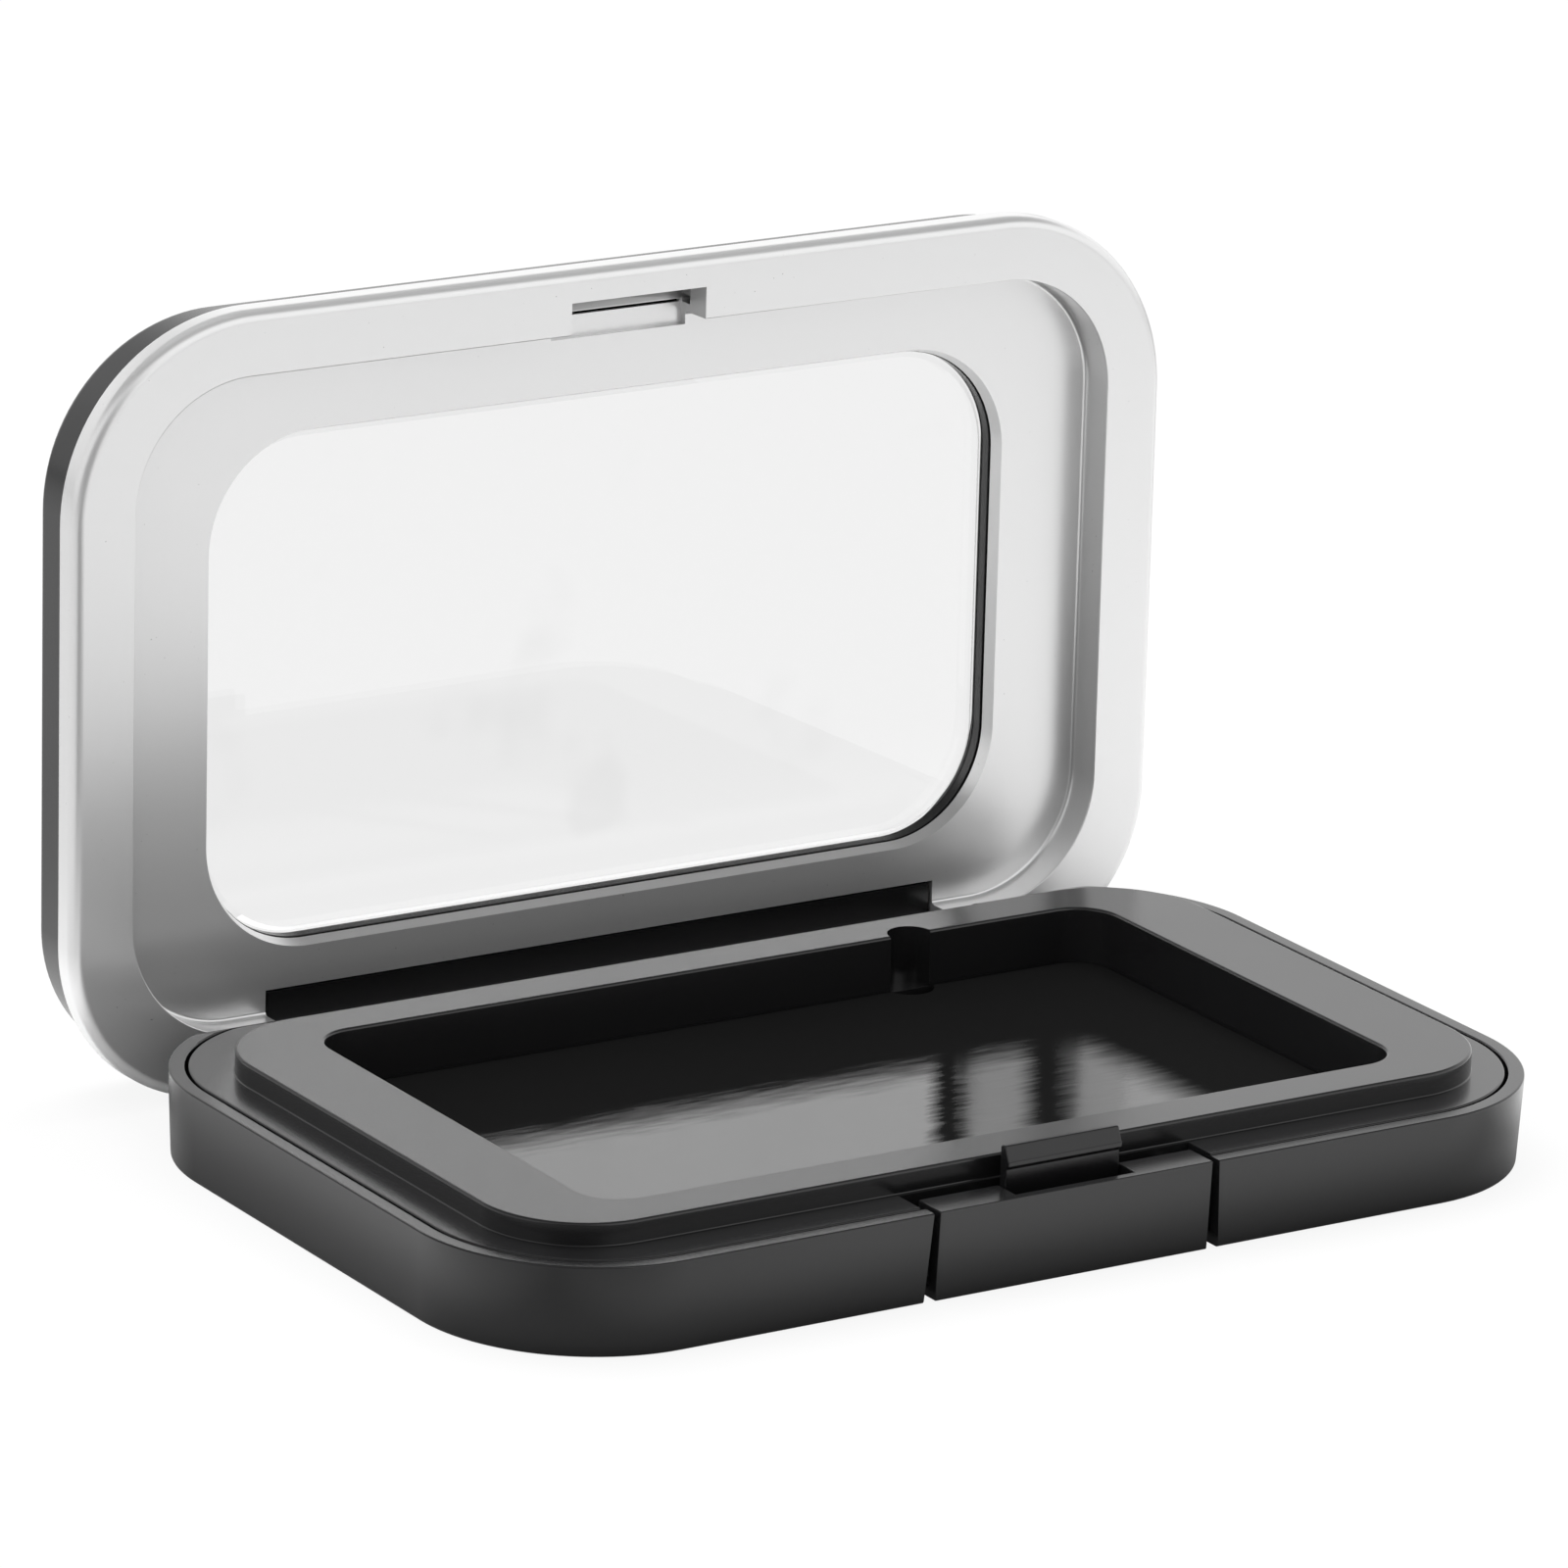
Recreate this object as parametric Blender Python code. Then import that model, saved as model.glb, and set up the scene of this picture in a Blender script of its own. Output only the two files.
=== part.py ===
"""Magnetic makeup palette, shown open.

Frame: +Z up, X along the hinge, -Y towards the push button. The origin is
the centre of the flat underside of the base. Lengths are in metres, and the
named sizes below are in millimetres times MM.

The lid is described closed. Its depth w is counted upwards from the face
that comes down on the rim of the base, and an empty on the hinge axis then
turns the whole lid open.
"""

import math

import bmesh
import bpy

MM = 0.001

# Driving sizes of the base
BASE_WIDTH = 118.0 * MM
BASE_DEPTH = 75.6 * MM
BASE_CORNER = 17.4 * MM
RIM_HEIGHT = 8.65 * MM
WALL = 1.55 * MM
FLOOR = 1.2 * MM
DRAFT_INSET = 0.35 * MM
FOOT_ROUND = 0.2 * MM
RIM_ROUND = 0.3 * MM

# Gaps between mating pieces
FIT_GAP = 0.3 * MM
PIN_GAP = 0.1 * MM
SWING_GAP = 0.27 * MM
SIDE_GAP = 0.7 * MM
OVERRUN = 2.0 * MM

# Insert with the raised plateau and the pan well
INSERT_WALL = 1.2 * MM
LEDGE_SIDE = 5.6 * MM
LEDGE_FRONT = 5.77 * MM
LEDGE_BACK = 7.93 * MM
PLATEAU_CORNER = 10.2 * MM
PLATEAU_RISE = 2.2 * MM
PLATEAU_ROUND = 0.3 * MM
WELL_SIDE_BAND = 9.2 * MM
WELL_END_BAND = 5.1 * MM
WELL_CORNER = 4.2 * MM
WELL_DRAFT = 0.3 * MM
SHEET_TOP = 5.45 * MM
SHEET_THICKNESS = 0.6 * MM
NOTCH_RADIUS = 2.3 * MM
NOTCH_X = 22.95 * MM
NOTCH_SILL = 0.2 * MM

# Hinge
OPEN_ANGLE = math.radians(91.0)
AXIS_INSET = 3.5 * MM
AXIS_DROP = 5.47 * MM
KNUCKLE_RADIUS = 1.5 * MM
PIN_RADIUS = 0.65 * MM
INNER_KNUCKLE_START = 12.6 * MM
INNER_KNUCKLE_WIDTH = 6.8 * MM
ARM_WIDTH = 14.2 * MM
OUTER_KNUCKLE_WIDTH = 3.1 * MM
KNUCKLE_SIDE_GAP = 0.5 * MM
KNUCKLE_ROOT = 0.5 * MM
PIN_INSET = 0.4 * MM

# Lid
LID_OVERHANG = 1.93 * MM
LID_FRONT_REACH = 0.84 * MM
LID_BACK_INSET = 0.2 * MM
LID_CORNER = 19.1 * MM
LID_BACK_CORNER = 16.5 * MM
LID_EDGE_ROUND = 1.15 * MM
RECESS_SIDE_GAP = 1.05 * MM
RECESS_FRONT_GAP = 0.36 * MM
RECESS_BACK_GAP = 1.6 * MM
RECESS_CORNER = 12.2 * MM
RECESS_SINK = 3.69 * MM
RECESS_COVE = 0.45 * MM
RECESS_EDGE_ROUND = 0.12 * MM
SEAM_HEIGHT = 2.75 * MM
FRAME_PLATE = 1.26 * MM
FRAME_WALL = 1.2 * MM
SPIGOT_HEIGHT = 1.4 * MM
SPIGOT_THICKNESS = 0.8 * MM
WINDOW_SIDE_BAND = 9.83 * MM
WINDOW_FRONT_BAND = 6.77 * MM
WINDOW_BACK_BAND = 6.35 * MM
WINDOW_CORNER = 11.3 * MM
WINDOW_DRAFT = 0.45 * MM
COVER_HEIGHT = 6.55 * MM
COVER_INSET = 1.5 * MM
COVER_WALL = 1.0 * MM
COVER_PLATE = 2.5 * MM
COVER_ROUND = 1.0 * MM
COVER_LEDGE = 0.1 * MM
COVER_LIP = 1.4 * MM
COVER_COLLAR = 1.2 * MM
PANE_LAP = 1.5 * MM
PANE_THICKNESS = 0.7 * MM
PANE_ROUND = 0.1 * MM
PLUG_HEIGHT = 0.9 * MM
PLUG_GAP = 0.2 * MM
PLUG_BEVEL = 0.5 * MM

# Hinge block that carries the lid's arms
BLOCK_SINK = 0.21 * MM
BLOCK_REACH = 5.0 * MM
WEB_REACH = 2.2 * MM
WEB_BACK_REACH = 0.5 * MM
WEB_DROP = 1.5 * MM
BAND_DEPTH = 1.4 * MM
BAND_SINK = 0.3 * MM
ARM_LAP = 0.5 * MM
ARM_SHOULDER = 2.0 * MM
ARM_INSET = 0.3 * MM

# Push button
BUTTON_HALF = 14.9 * MM
BUTTON_DEEP = 3.7 * MM
BUTTON_RISE = 0.05 * MM
BUTTON_FOOT = 0.05 * MM
BUTTON_FACE = 1.55 * MM
BUTTON_PLATE = 1.15 * MM
BUTTON_LIP = 0.9 * MM
BUTTON_ROUND = 0.25 * MM
BUTTON_TRAVEL = 1.2 * MM

# Hook on its slider
HOOK_LEFT = 5.95 * MM
HOOK_RIGHT = 6.5 * MM
HOOK_SETBACK = 3.0 * MM
HOOK_THICKNESS = 1.0 * MM
HOOK_REACH = 0.4 * MM
HOOK_RISE = 3.8 * MM
HOOK_FLAT = 0.7 * MM
HOOK_RAMP = 1.5 * MM
NOSE_LIP = 0.35 * MM
NOSE_SLOPE = 0.25 * MM
SLIDER_HALF = 13.0 * MM
SLIDER_SIDE_GAP = 0.35 * MM
SLIDER_LOW_GAP = 0.45 * MM

# Latch slot in the lid frame
HOOK_PASS_GAP = 0.35 * MM
SLOT_LEFT_GAP = 1.6 * MM
SLOT_RIGHT_GAP = 0.95 * MM
SLOT_LENGTH = 4.45 * MM
SLOT_SINK = 4.45 * MM
SLIT_WIDTH = 2.35 * MM
SLIT_INSET = 0.25 * MM
CATCH_THICKNESS = 1.75 * MM
CATCH_DEEP = 0.35 * MM
LATCH_BOX_WALL = 1.9 * MM
LATCH_BOX_SETBACK = 0.2 * MM
LATCH_BOX_ROOT = 0.4 * MM
LATCH_BOX_STEP = 0.05 * MM

# Return springs
SPRING_X = 10.0 * MM
SPRING_RADIUS = 1.25 * MM
SPRING_WIRE = 0.2 * MM
SPRING_TURNS = 2.25
SPRING_STEPS = 10
SPRING_ROOM = 4.2 * MM
STOP_HALF = 2.2 * MM
STOP_THICKNESS = 1.0 * MM
STOP_MARGIN = 2.0 * MM
PEG_RADIUS = 0.65 * MM
PEG_LENGTH = 1.7 * MM

# Facets
CORNER_STEPS = 11
ROUND_STEPS = 24
ARC_STEPS = 14
EDGE_STEPS = 4

# Base values that follow from the sizes above
BASE_FRONT = -BASE_DEPTH / 2
BASE_BACK = BASE_DEPTH / 2
PLATEAU_TOP = RIM_HEIGHT + PLATEAU_RISE
PLATEAU_WIDTH = BASE_WIDTH - 2 * LEDGE_SIDE
PLATEAU_FRONT = BASE_FRONT + LEDGE_FRONT
PLATEAU_BACK = BASE_BACK - LEDGE_BACK
INSERT_INSET = WALL + FIT_GAP
WELL_FLOOR = SHEET_TOP - SHEET_THICKNESS - FIT_GAP
WELL_FRONT = PLATEAU_FRONT + WELL_END_BAND
WELL_BACK = PLATEAU_BACK - WELL_END_BAND

# Lid values
LID_FACE = RIM_HEIGHT + FIT_GAP
LID_WIDTH = BASE_WIDTH + 2 * LID_OVERHANG
LID_FRONT = BASE_FRONT - LID_FRONT_REACH
LID_BACK = BASE_BACK - LID_BACK_INSET
RECESS_WIDTH = PLATEAU_WIDTH + 2 * RECESS_SIDE_GAP
RECESS_FRONT = PLATEAU_FRONT - RECESS_FRONT_GAP
RECESS_BACK = PLATEAU_BACK + RECESS_BACK_GAP
WINDOW_WIDTH = RECESS_WIDTH - 2 * WINDOW_SIDE_BAND
WINDOW_FRONT = RECESS_FRONT + WINDOW_FRONT_BAND
WINDOW_BACK = RECESS_BACK - WINDOW_BACK_BAND
FRAME_BACK = RECESS_SINK + FRAME_PLATE
COVER_TOP = SEAM_HEIGHT + FIT_GAP + COVER_HEIGHT
COVER_CEILING = COVER_TOP - COVER_PLATE
REBATE_FLOOR = FRAME_BACK + FIT_GAP + COVER_LIP

# Hinge values
AXIS_Y = BASE_BACK - AXIS_INSET
AXIS_Z = LID_FACE - AXIS_DROP
WEB_FRONT = AXIS_Y - WEB_REACH
WEB_BACK = AXIS_Y + WEB_BACK_REACH
BLOCK_FRONT = AXIS_Y - BLOCK_REACH
INNER_KNUCKLE_END = INNER_KNUCKLE_START + INNER_KNUCKLE_WIDTH
ARM_START = INNER_KNUCKLE_END + KNUCKLE_SIDE_GAP
ARM_END = ARM_START + ARM_WIDTH
OUTER_KNUCKLE_START = ARM_END + KNUCKLE_SIDE_GAP
HINGE_HALF = OUTER_KNUCKLE_START + OUTER_KNUCKLE_WIDTH

# Latch values
BUTTON_TOP = RIM_HEIGHT + BUTTON_RISE
BUTTON_BACK = BASE_FRONT + BUTTON_DEEP
HOOK_FRONT = BASE_FRONT + HOOK_SETBACK
HOOK_BACK = HOOK_FRONT + HOOK_THICKNESS
HOOK_TOP = RIM_HEIGHT + HOOK_RISE
SLIDER_FRONT = BASE_FRONT + BUTTON_FACE + SLIDER_SIDE_GAP
SLIDER_LOW = BUTTON_FOOT + BUTTON_PLATE + SLIDER_LOW_GAP
SLIDER_HIGH = BUTTON_TOP - BUTTON_PLATE - FIT_GAP
SLIDER_Z = (SLIDER_LOW + SLIDER_HIGH) / 2
SLOT_LEFT = -HOOK_LEFT - SLOT_LEFT_GAP
SLOT_RIGHT = HOOK_RIGHT + SLOT_RIGHT_GAP
SLOT_FRONT = HOOK_FRONT - HOOK_REACH - HOOK_PASS_GAP
STOP_FRONT = HOOK_BACK + SPRING_ROOM


def clear_scene():
    for thing in list(bpy.data.objects):
        bpy.data.objects.remove(thing, do_unlink=True)


def make_material(name, colour, roughness, metallic=0.0, alpha=1.0):
    material = bpy.data.materials.new(name)
    material.use_nodes = True
    shader = material.node_tree.nodes["Principled BSDF"]
    shader.inputs["Base Color"].default_value = (*colour, 1.0)
    shader.inputs["Roughness"].default_value = roughness
    shader.inputs["Metallic"].default_value = metallic
    shader.inputs["Alpha"].default_value = alpha
    material.diffuse_color = (*colour, alpha)
    return material


def make_empty(name, location):
    empty = bpy.data.objects.new(name, None)
    empty.location = location
    bpy.context.collection.objects.link(empty)
    return empty


def outline(size, grow=0.0):
    """Points of a rounded rectangle, grown or shrunk by an even margin.

    The size is a width, a front, a back and a corner radius. A fifth value
    gives the back corners a radius of their own.
    """
    width, front, back, *radii = size
    half_x = width / 2 + grow
    half_y = (back - front) / 2 + grow
    centre_y = (front + back) / 2
    front_corner = max(radii[0] + grow, WELL_DRAFT)
    back_corner = max(radii[-1] + grow, WELL_DRAFT)
    points = []
    for index, (sign_x, sign_y) in enumerate(((1, 1), (-1, 1), (-1, -1), (1, -1))):
        corner = back_corner if sign_y > 0 else front_corner
        for step in range(CORNER_STEPS + 1):
            angle = (index + step / CORNER_STEPS) * math.pi / 2
            x = sign_x * (half_x - corner) + corner * math.cos(angle)
            y = centre_y + sign_y * (half_y - corner) + corner * math.sin(angle)
            points.append((x, y))
    return points


def place_mesh(name, mesh_data, material, parent=None, cutter=False):
    """Turn a bmesh into an object, with its origin on its parent's axis."""
    origin = parent.location.copy() if parent else None
    if origin is not None:
        for vertex in mesh_data.verts:
            vertex.co -= origin
    bmesh.ops.recalc_face_normals(mesh_data, faces=mesh_data.faces)
    mesh = bpy.data.meshes.new(name)
    mesh_data.to_mesh(mesh)
    mesh_data.free()
    thing = bpy.data.objects.new(name, mesh)
    bpy.context.collection.objects.link(thing)
    if material:
        mesh.materials.append(material)
    if parent:
        thing.parent = parent
    if cutter:
        thing.hide_render = True
        thing.display_type = "WIRE"
    return thing


def loft(name, rings, material, parent=None, ring_shaped=False, cutter=False):
    """Join rings of equal point count into one closed body.

    Each ring is a list of plan points and a height. A ring-shaped body joins
    its last ring back to its first; any other body is capped at both ends.
    """
    work = bmesh.new()
    loops = []
    for points, height in rings:
        loops.append([work.verts.new((x, y, height)) for x, y in points])
    count = len(loops[0])
    pairs = list(zip(loops, loops[1:]))
    if ring_shaped:
        pairs.append((loops[-1], loops[0]))
    for lower, upper in pairs:
        for index in range(count):
            after = (index + 1) % count
            work.faces.new((lower[index], lower[after], upper[after], upper[index]))
    if not ring_shaped:
        work.faces.new(list(reversed(loops[0])))
        work.faces.new(loops[-1])
    return place_mesh(name, work, material, parent, cutter)


def prism_x(name, profile, start, end, material=None, parent=None, cutter=False):
    """Extrude a closed profile of (y, z) points along X."""
    work = bmesh.new()
    near = [work.verts.new((start, y, z)) for y, z in profile]
    face = work.faces.new(near)
    moved = bmesh.ops.extrude_face_region(work, geom=[face])
    far = [item for item in moved["geom"] if isinstance(item, bmesh.types.BMVert)]
    bmesh.ops.translate(work, verts=far, vec=(end - start, 0, 0))
    return place_mesh(name, work, material, parent, cutter)


def prism_z(name, plan, low, high, material=None, parent=None, cutter=False):
    """Extrude a closed plan of (x, y) points upwards."""
    return loft(name, [(plan, low), (plan, high)], material, parent, False, cutter)


def box(name, low, high, parent=None, cutter=True):
    plan = [(low[0], low[1]), (high[0], low[1]), (high[0], high[1]), (low[0], high[1])]
    return prism_z(name, plan, low[2], high[2], None, parent, cutter)


def circle(centre_a, centre_b, radius, steps=ROUND_STEPS):
    """Points of a circle, as pairs in whichever plane it is used."""
    points = []
    for step in range(steps):
        angle = 2 * math.pi * step / steps
        points.append((centre_a + radius * math.cos(angle), centre_b + radius * math.sin(angle)))
    return points


def boolean(target, tool, operation):
    """Apply one exact Boolean, and drop the tool once it has been used."""
    modifier = target.modifiers.new(tool.name, "BOOLEAN")
    modifier.operation = operation
    modifier.solver = "EXACT"
    modifier.object = tool
    bpy.context.view_layer.update()
    graph = bpy.context.evaluated_depsgraph_get()
    mesh = bpy.data.meshes.new_from_object(target.evaluated_get(graph), depsgraph=graph)
    target.modifiers.clear()
    old = target.data
    target.data = mesh
    mesh.name = target.name
    bpy.data.meshes.remove(old)
    bpy.data.objects.remove(tool, do_unlink=True)


def cut(target, tool):
    boolean(target, tool, "DIFFERENCE")


def unite(target, tool):
    boolean(target, tool, "UNION")


def soften(thing, angle=math.radians(35.0)):
    """Shade the curved faces smooth and keep the real edges sharp."""
    thing.data.shade_smooth()
    thing.data.set_sharp_from_angle(angle=angle)


def swing_profile(radius):
    """Profile of all that lies behind and above a circle about the hinge."""
    points = []
    for step in range(ARC_STEPS + 1):
        angle = math.pi / 2 * (1 - step / ARC_STEPS)
        points.append((AXIS_Y + radius * math.cos(angle), AXIS_Z + radius * math.sin(angle)))
    far_y = BASE_BACK + AXIS_DROP
    high = PLATEAU_TOP + OVERRUN
    points.append((far_y, AXIS_Z))
    points.append((far_y, high))
    points.append((AXIS_Y, high))
    return points


def knuckle_profile():
    """Side view of a base knuckle, rooted in the floor."""
    points = []
    for step in range(ARC_STEPS + 1):
        angle = math.pi * step / ARC_STEPS
        y = AXIS_Y + KNUCKLE_RADIUS * math.cos(angle)
        points.append((y, AXIS_Z + KNUCKLE_RADIUS * math.sin(angle)))
    root = FLOOR - KNUCKLE_ROOT
    points.append((AXIS_Y - KNUCKLE_RADIUS, root))
    points.append((AXIS_Y + KNUCKLE_RADIUS, root))
    return points


def arm_profile():
    """Side view of a lid arm, from its knuckle up into the block's web."""
    points = []
    for step in range(ARC_STEPS + 1):
        angle = math.pi * (1 + step / ARC_STEPS)
        y = AXIS_Y + KNUCKLE_RADIUS * math.cos(angle)
        points.append((y, AXIS_Z + KNUCKLE_RADIUS * math.sin(angle)))
    top = LID_FACE - WEB_DROP + ARM_LAP
    points.append((AXIS_Y + KNUCKLE_RADIUS, AXIS_Z + ARM_SHOULDER))
    points.append((WEB_BACK - ARM_INSET, top))
    points.append((WEB_FRONT + ARM_INSET, top))
    points.append((AXIS_Y - KNUCKLE_RADIUS, AXIS_Z + ARM_SHOULDER))
    return points


def knuckle_spans():
    """Starts and ends along +X of the base knuckles and of the lid arm."""
    inner = (INNER_KNUCKLE_START, INNER_KNUCKLE_END)
    outer = (OUTER_KNUCKLE_START, HINGE_HALF)
    return inner, (ARM_START, ARM_END), outer


def mirrored(span, side):
    low, high = span
    return (low, high) if side > 0 else (-high, -low)


def pin_bore(parent=None):
    reach = HINGE_HALF + OVERRUN
    profile = circle(AXIS_Y, AXIS_Z, PIN_RADIUS + PIN_GAP)
    return prism_x("pin_bore_cutter", profile, -reach, reach, None, parent, True)


def build_shell(material):
    plan = (BASE_WIDTH, BASE_FRONT, BASE_BACK, BASE_CORNER)
    shell = loft("base_shell", [
        (outline(plan, -DRAFT_INSET - FOOT_ROUND), 0.0),
        (outline(plan, -DRAFT_INSET), FOOT_ROUND),
        (outline(plan), RIM_HEIGHT - RIM_ROUND),
        (outline(plan, -RIM_ROUND), RIM_HEIGHT),
        (outline(plan, -WALL), RIM_HEIGHT),
        (outline(plan, -WALL), FLOOR),
    ], material)

    # The lid turns down behind the base, so the rim is rounded off about the
    # hinge, and lower still where the hinge block passes.
    reach = BASE_WIDTH / 2 + OVERRUN
    swing = swing_profile(AXIS_DROP - SWING_GAP)
    cut(shell, prism_x("swing_cutter", swing, -reach, reach, cutter=True))
    block_swing = swing_profile(AXIS_DROP - WEB_DROP - FIT_GAP)
    block_reach = HINGE_HALF + KNUCKLE_SIDE_GAP
    cut(shell, prism_x("block_swing_cutter", block_swing, -block_reach, block_reach, cutter=True))

    inner, arm, outer = knuckle_spans()
    slot_low = AXIS_Z - KNUCKLE_RADIUS - FIT_GAP
    for side in (1, -1):
        low, high = mirrored(arm, side)
        cut(shell, box("arm_slot_cutter",
                       (low - KNUCKLE_SIDE_GAP, AXIS_Y + KNUCKLE_RADIUS, slot_low),
                       (high + KNUCKLE_SIDE_GAP, BASE_BACK + OVERRUN, PLATEAU_TOP)))
        for span in (inner, outer):
            low, high = mirrored(span, side)
            unite(shell, prism_x("knuckle_tool", knuckle_profile(), low, high))
    cut(shell, pin_bore())

    # Spring stops with their pegs
    for side in (1, -1):
        centre = side * SPRING_X
        unite(shell, box("spring_stop_tool",
                         (centre - STOP_HALF, STOP_FRONT, FLOOR - KNUCKLE_ROOT),
                         (centre + STOP_HALF, STOP_FRONT + STOP_THICKNESS, SLIDER_Z + STOP_MARGIN)))
        unite(shell, spring_peg(centre))

    # Gap for the push button, through the wall and the floor
    half = BUTTON_HALF + SIDE_GAP
    back = BUTTON_BACK + BUTTON_TRAVEL + FIT_GAP
    cut(shell, box("button_gap_cutter",
                   (-half, BASE_FRONT - OVERRUN, -OVERRUN),
                   (half, back, PLATEAU_TOP)))
    soften(shell)
    return shell


def spring_peg(centre):
    """A short round peg that stands out of a spring stop towards the front."""
    work = bmesh.new()
    start = STOP_FRONT + STOP_THICKNESS / 2
    end = STOP_FRONT - PEG_LENGTH
    ring = circle(centre, SLIDER_Z, PEG_RADIUS)
    near = [work.verts.new((x, start, z)) for x, z in ring]
    far = [work.verts.new((x, end, z)) for x, z in ring]
    for index in range(len(ring)):
        after = (index + 1) % len(ring)
        work.faces.new((near[index], near[after], far[after], far[index]))
    work.faces.new(list(reversed(near)))
    work.faces.new(far)
    return place_mesh("spring_peg_tool", work, None)


def well_size():
    width = PLATEAU_WIDTH - 2 * WELL_SIDE_BAND
    return (width, WELL_FRONT, WELL_BACK, WELL_CORNER)


def build_insert(material):
    plan = (BASE_WIDTH, BASE_FRONT, BASE_BACK, BASE_CORNER)
    plateau = (PLATEAU_WIDTH, PLATEAU_FRONT, PLATEAU_BACK, PLATEAU_CORNER)
    well = well_size()
    skirt_low = FLOOR + FIT_GAP
    ledge_low = RIM_HEIGHT - INSERT_WALL
    plateau_low = PLATEAU_TOP - INSERT_WALL
    insert = loft("inner_tray", [
        (outline(well, -WELL_DRAFT), WELL_FLOOR),
        (outline(well), PLATEAU_TOP),
        (outline(plateau, -PLATEAU_ROUND), PLATEAU_TOP),
        (outline(plateau), PLATEAU_TOP - PLATEAU_ROUND),
        (outline(plateau), RIM_HEIGHT),
        (outline(plan, -INSERT_INSET - RIM_ROUND), RIM_HEIGHT),
        (outline(plan, -INSERT_INSET), RIM_HEIGHT - RIM_ROUND),
        (outline(plan, -INSERT_INSET), skirt_low),
        (outline(plan, -INSERT_INSET - INSERT_WALL), skirt_low),
        (outline(plan, -INSERT_INSET - INSERT_WALL), ledge_low),
        (outline(plateau, -INSERT_WALL), ledge_low),
        (outline(plateau, -INSERT_WALL), plateau_low),
        (outline(well, INSERT_WALL), plateau_low),
        (outline(well, INSERT_WALL), WELL_FLOOR - INSERT_WALL),
    ], material)

    # Half-round finger notch in the back wall of the well, in its own boss
    boss_radius = NOTCH_RADIUS + INSERT_WALL
    boss_front = WELL_BACK + INSERT_WALL / 2
    boss = []
    for step in range(ARC_STEPS + 1):
        angle = math.pi * step / ARC_STEPS
        y = WELL_BACK + boss_radius * math.sin(angle)
        boss.append((NOTCH_X + boss_radius * math.cos(angle), max(y, boss_front)))
    unite(insert, prism_z("notch_boss_tool", boss, WELL_FLOOR - INSERT_WALL / 2,
                          PLATEAU_TOP - INSERT_WALL / 2))
    notch = circle(NOTCH_X, WELL_BACK, NOTCH_RADIUS)
    sill = SHEET_TOP - NOTCH_SILL
    cut(insert, prism_z("notch_cutter", notch, sill, PLATEAU_TOP + OVERRUN, cutter=True))

    # Room for the button, its slider and the hook in front of the plateau
    half = BUTTON_HALF + SIDE_GAP + FIT_GAP
    cut(insert, box("button_room_cutter",
                    (-half, BASE_FRONT - OVERRUN, 0.0),
                    (half, PLATEAU_FRONT - FIT_GAP, PLATEAU_TOP + OVERRUN)))

    # Room for the hinge behind the plateau
    reach = HINGE_HALF + KNUCKLE_SIDE_GAP
    room_front = WEB_FRONT - KNUCKLE_SIDE_GAP
    cut(insert, box("hinge_room_cutter",
                    (-reach, room_front, 0.0),
                    (reach, BASE_BACK + OVERRUN, PLATEAU_TOP + OVERRUN)))
    span = BASE_WIDTH / 2 + OVERRUN
    swing = swing_profile(AXIS_DROP - SWING_GAP)
    cut(insert, prism_x("swing_cutter", swing, -span, span, cutter=True))
    soften(insert)
    return insert


def build_sheet(material):
    well = well_size()
    plan = outline(well, -WELL_DRAFT - FIT_GAP)
    sheet = prism_z("magnet_sheet", plan, SHEET_TOP - SHEET_THICKNESS, SHEET_TOP, material)
    relief = circle(NOTCH_X, WELL_BACK, NOTCH_RADIUS + NOTCH_SILL)
    cut(sheet, prism_z("relief_cutter", relief, 0.0, PLATEAU_TOP, cutter=True))
    soften(sheet)
    return sheet


def build_pins(material):
    inner, _arm, outer = knuckle_spans()
    start = inner[0] + PIN_INSET
    end = outer[1] - PIN_INSET
    for side, name in ((-1, "hinge_pin_left"), (1, "hinge_pin_right")):
        low, high = mirrored((start, end), side)
        pin = prism_x(name, circle(AXIS_Y, AXIS_Z, PIN_RADIUS), low, high, material)
        soften(pin)


def build_springs(material):
    """Two coil springs, drawn at the length they have when pressed."""
    start = STOP_FRONT - FIT_GAP - SPRING_WIRE
    end = HOOK_BACK + BUTTON_TRAVEL + FIT_GAP + SPRING_WIRE
    count = int(SPRING_TURNS * SPRING_STEPS) + 1
    for side, name in ((-1, "button_spring_left"), (1, "button_spring_right")):
        curve = bpy.data.curves.new(name, "CURVE")
        curve.dimensions = "3D"
        curve.bevel_depth = SPRING_WIRE
        curve.bevel_resolution = 1
        curve.use_fill_caps = True
        spline = curve.splines.new("POLY")
        spline.points.add(count - 1)
        for index in range(count):
            share = index / (count - 1)
            angle = 2 * math.pi * SPRING_TURNS * share
            x = side * SPRING_X + SPRING_RADIUS * math.cos(angle)
            z = SLIDER_Z + SPRING_RADIUS * math.sin(angle)
            spline.points[index].co = (x, start + (end - start) * share, z, 1.0)
        curve.materials.append(material)
        spring = bpy.data.objects.new(name, curve)
        bpy.context.collection.objects.link(spring)
    pitch = abs(end - start) / SPRING_TURNS
    print("least gap between spring turns, mm:", round((pitch - 2 * SPRING_WIRE) / MM, 3))


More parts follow.
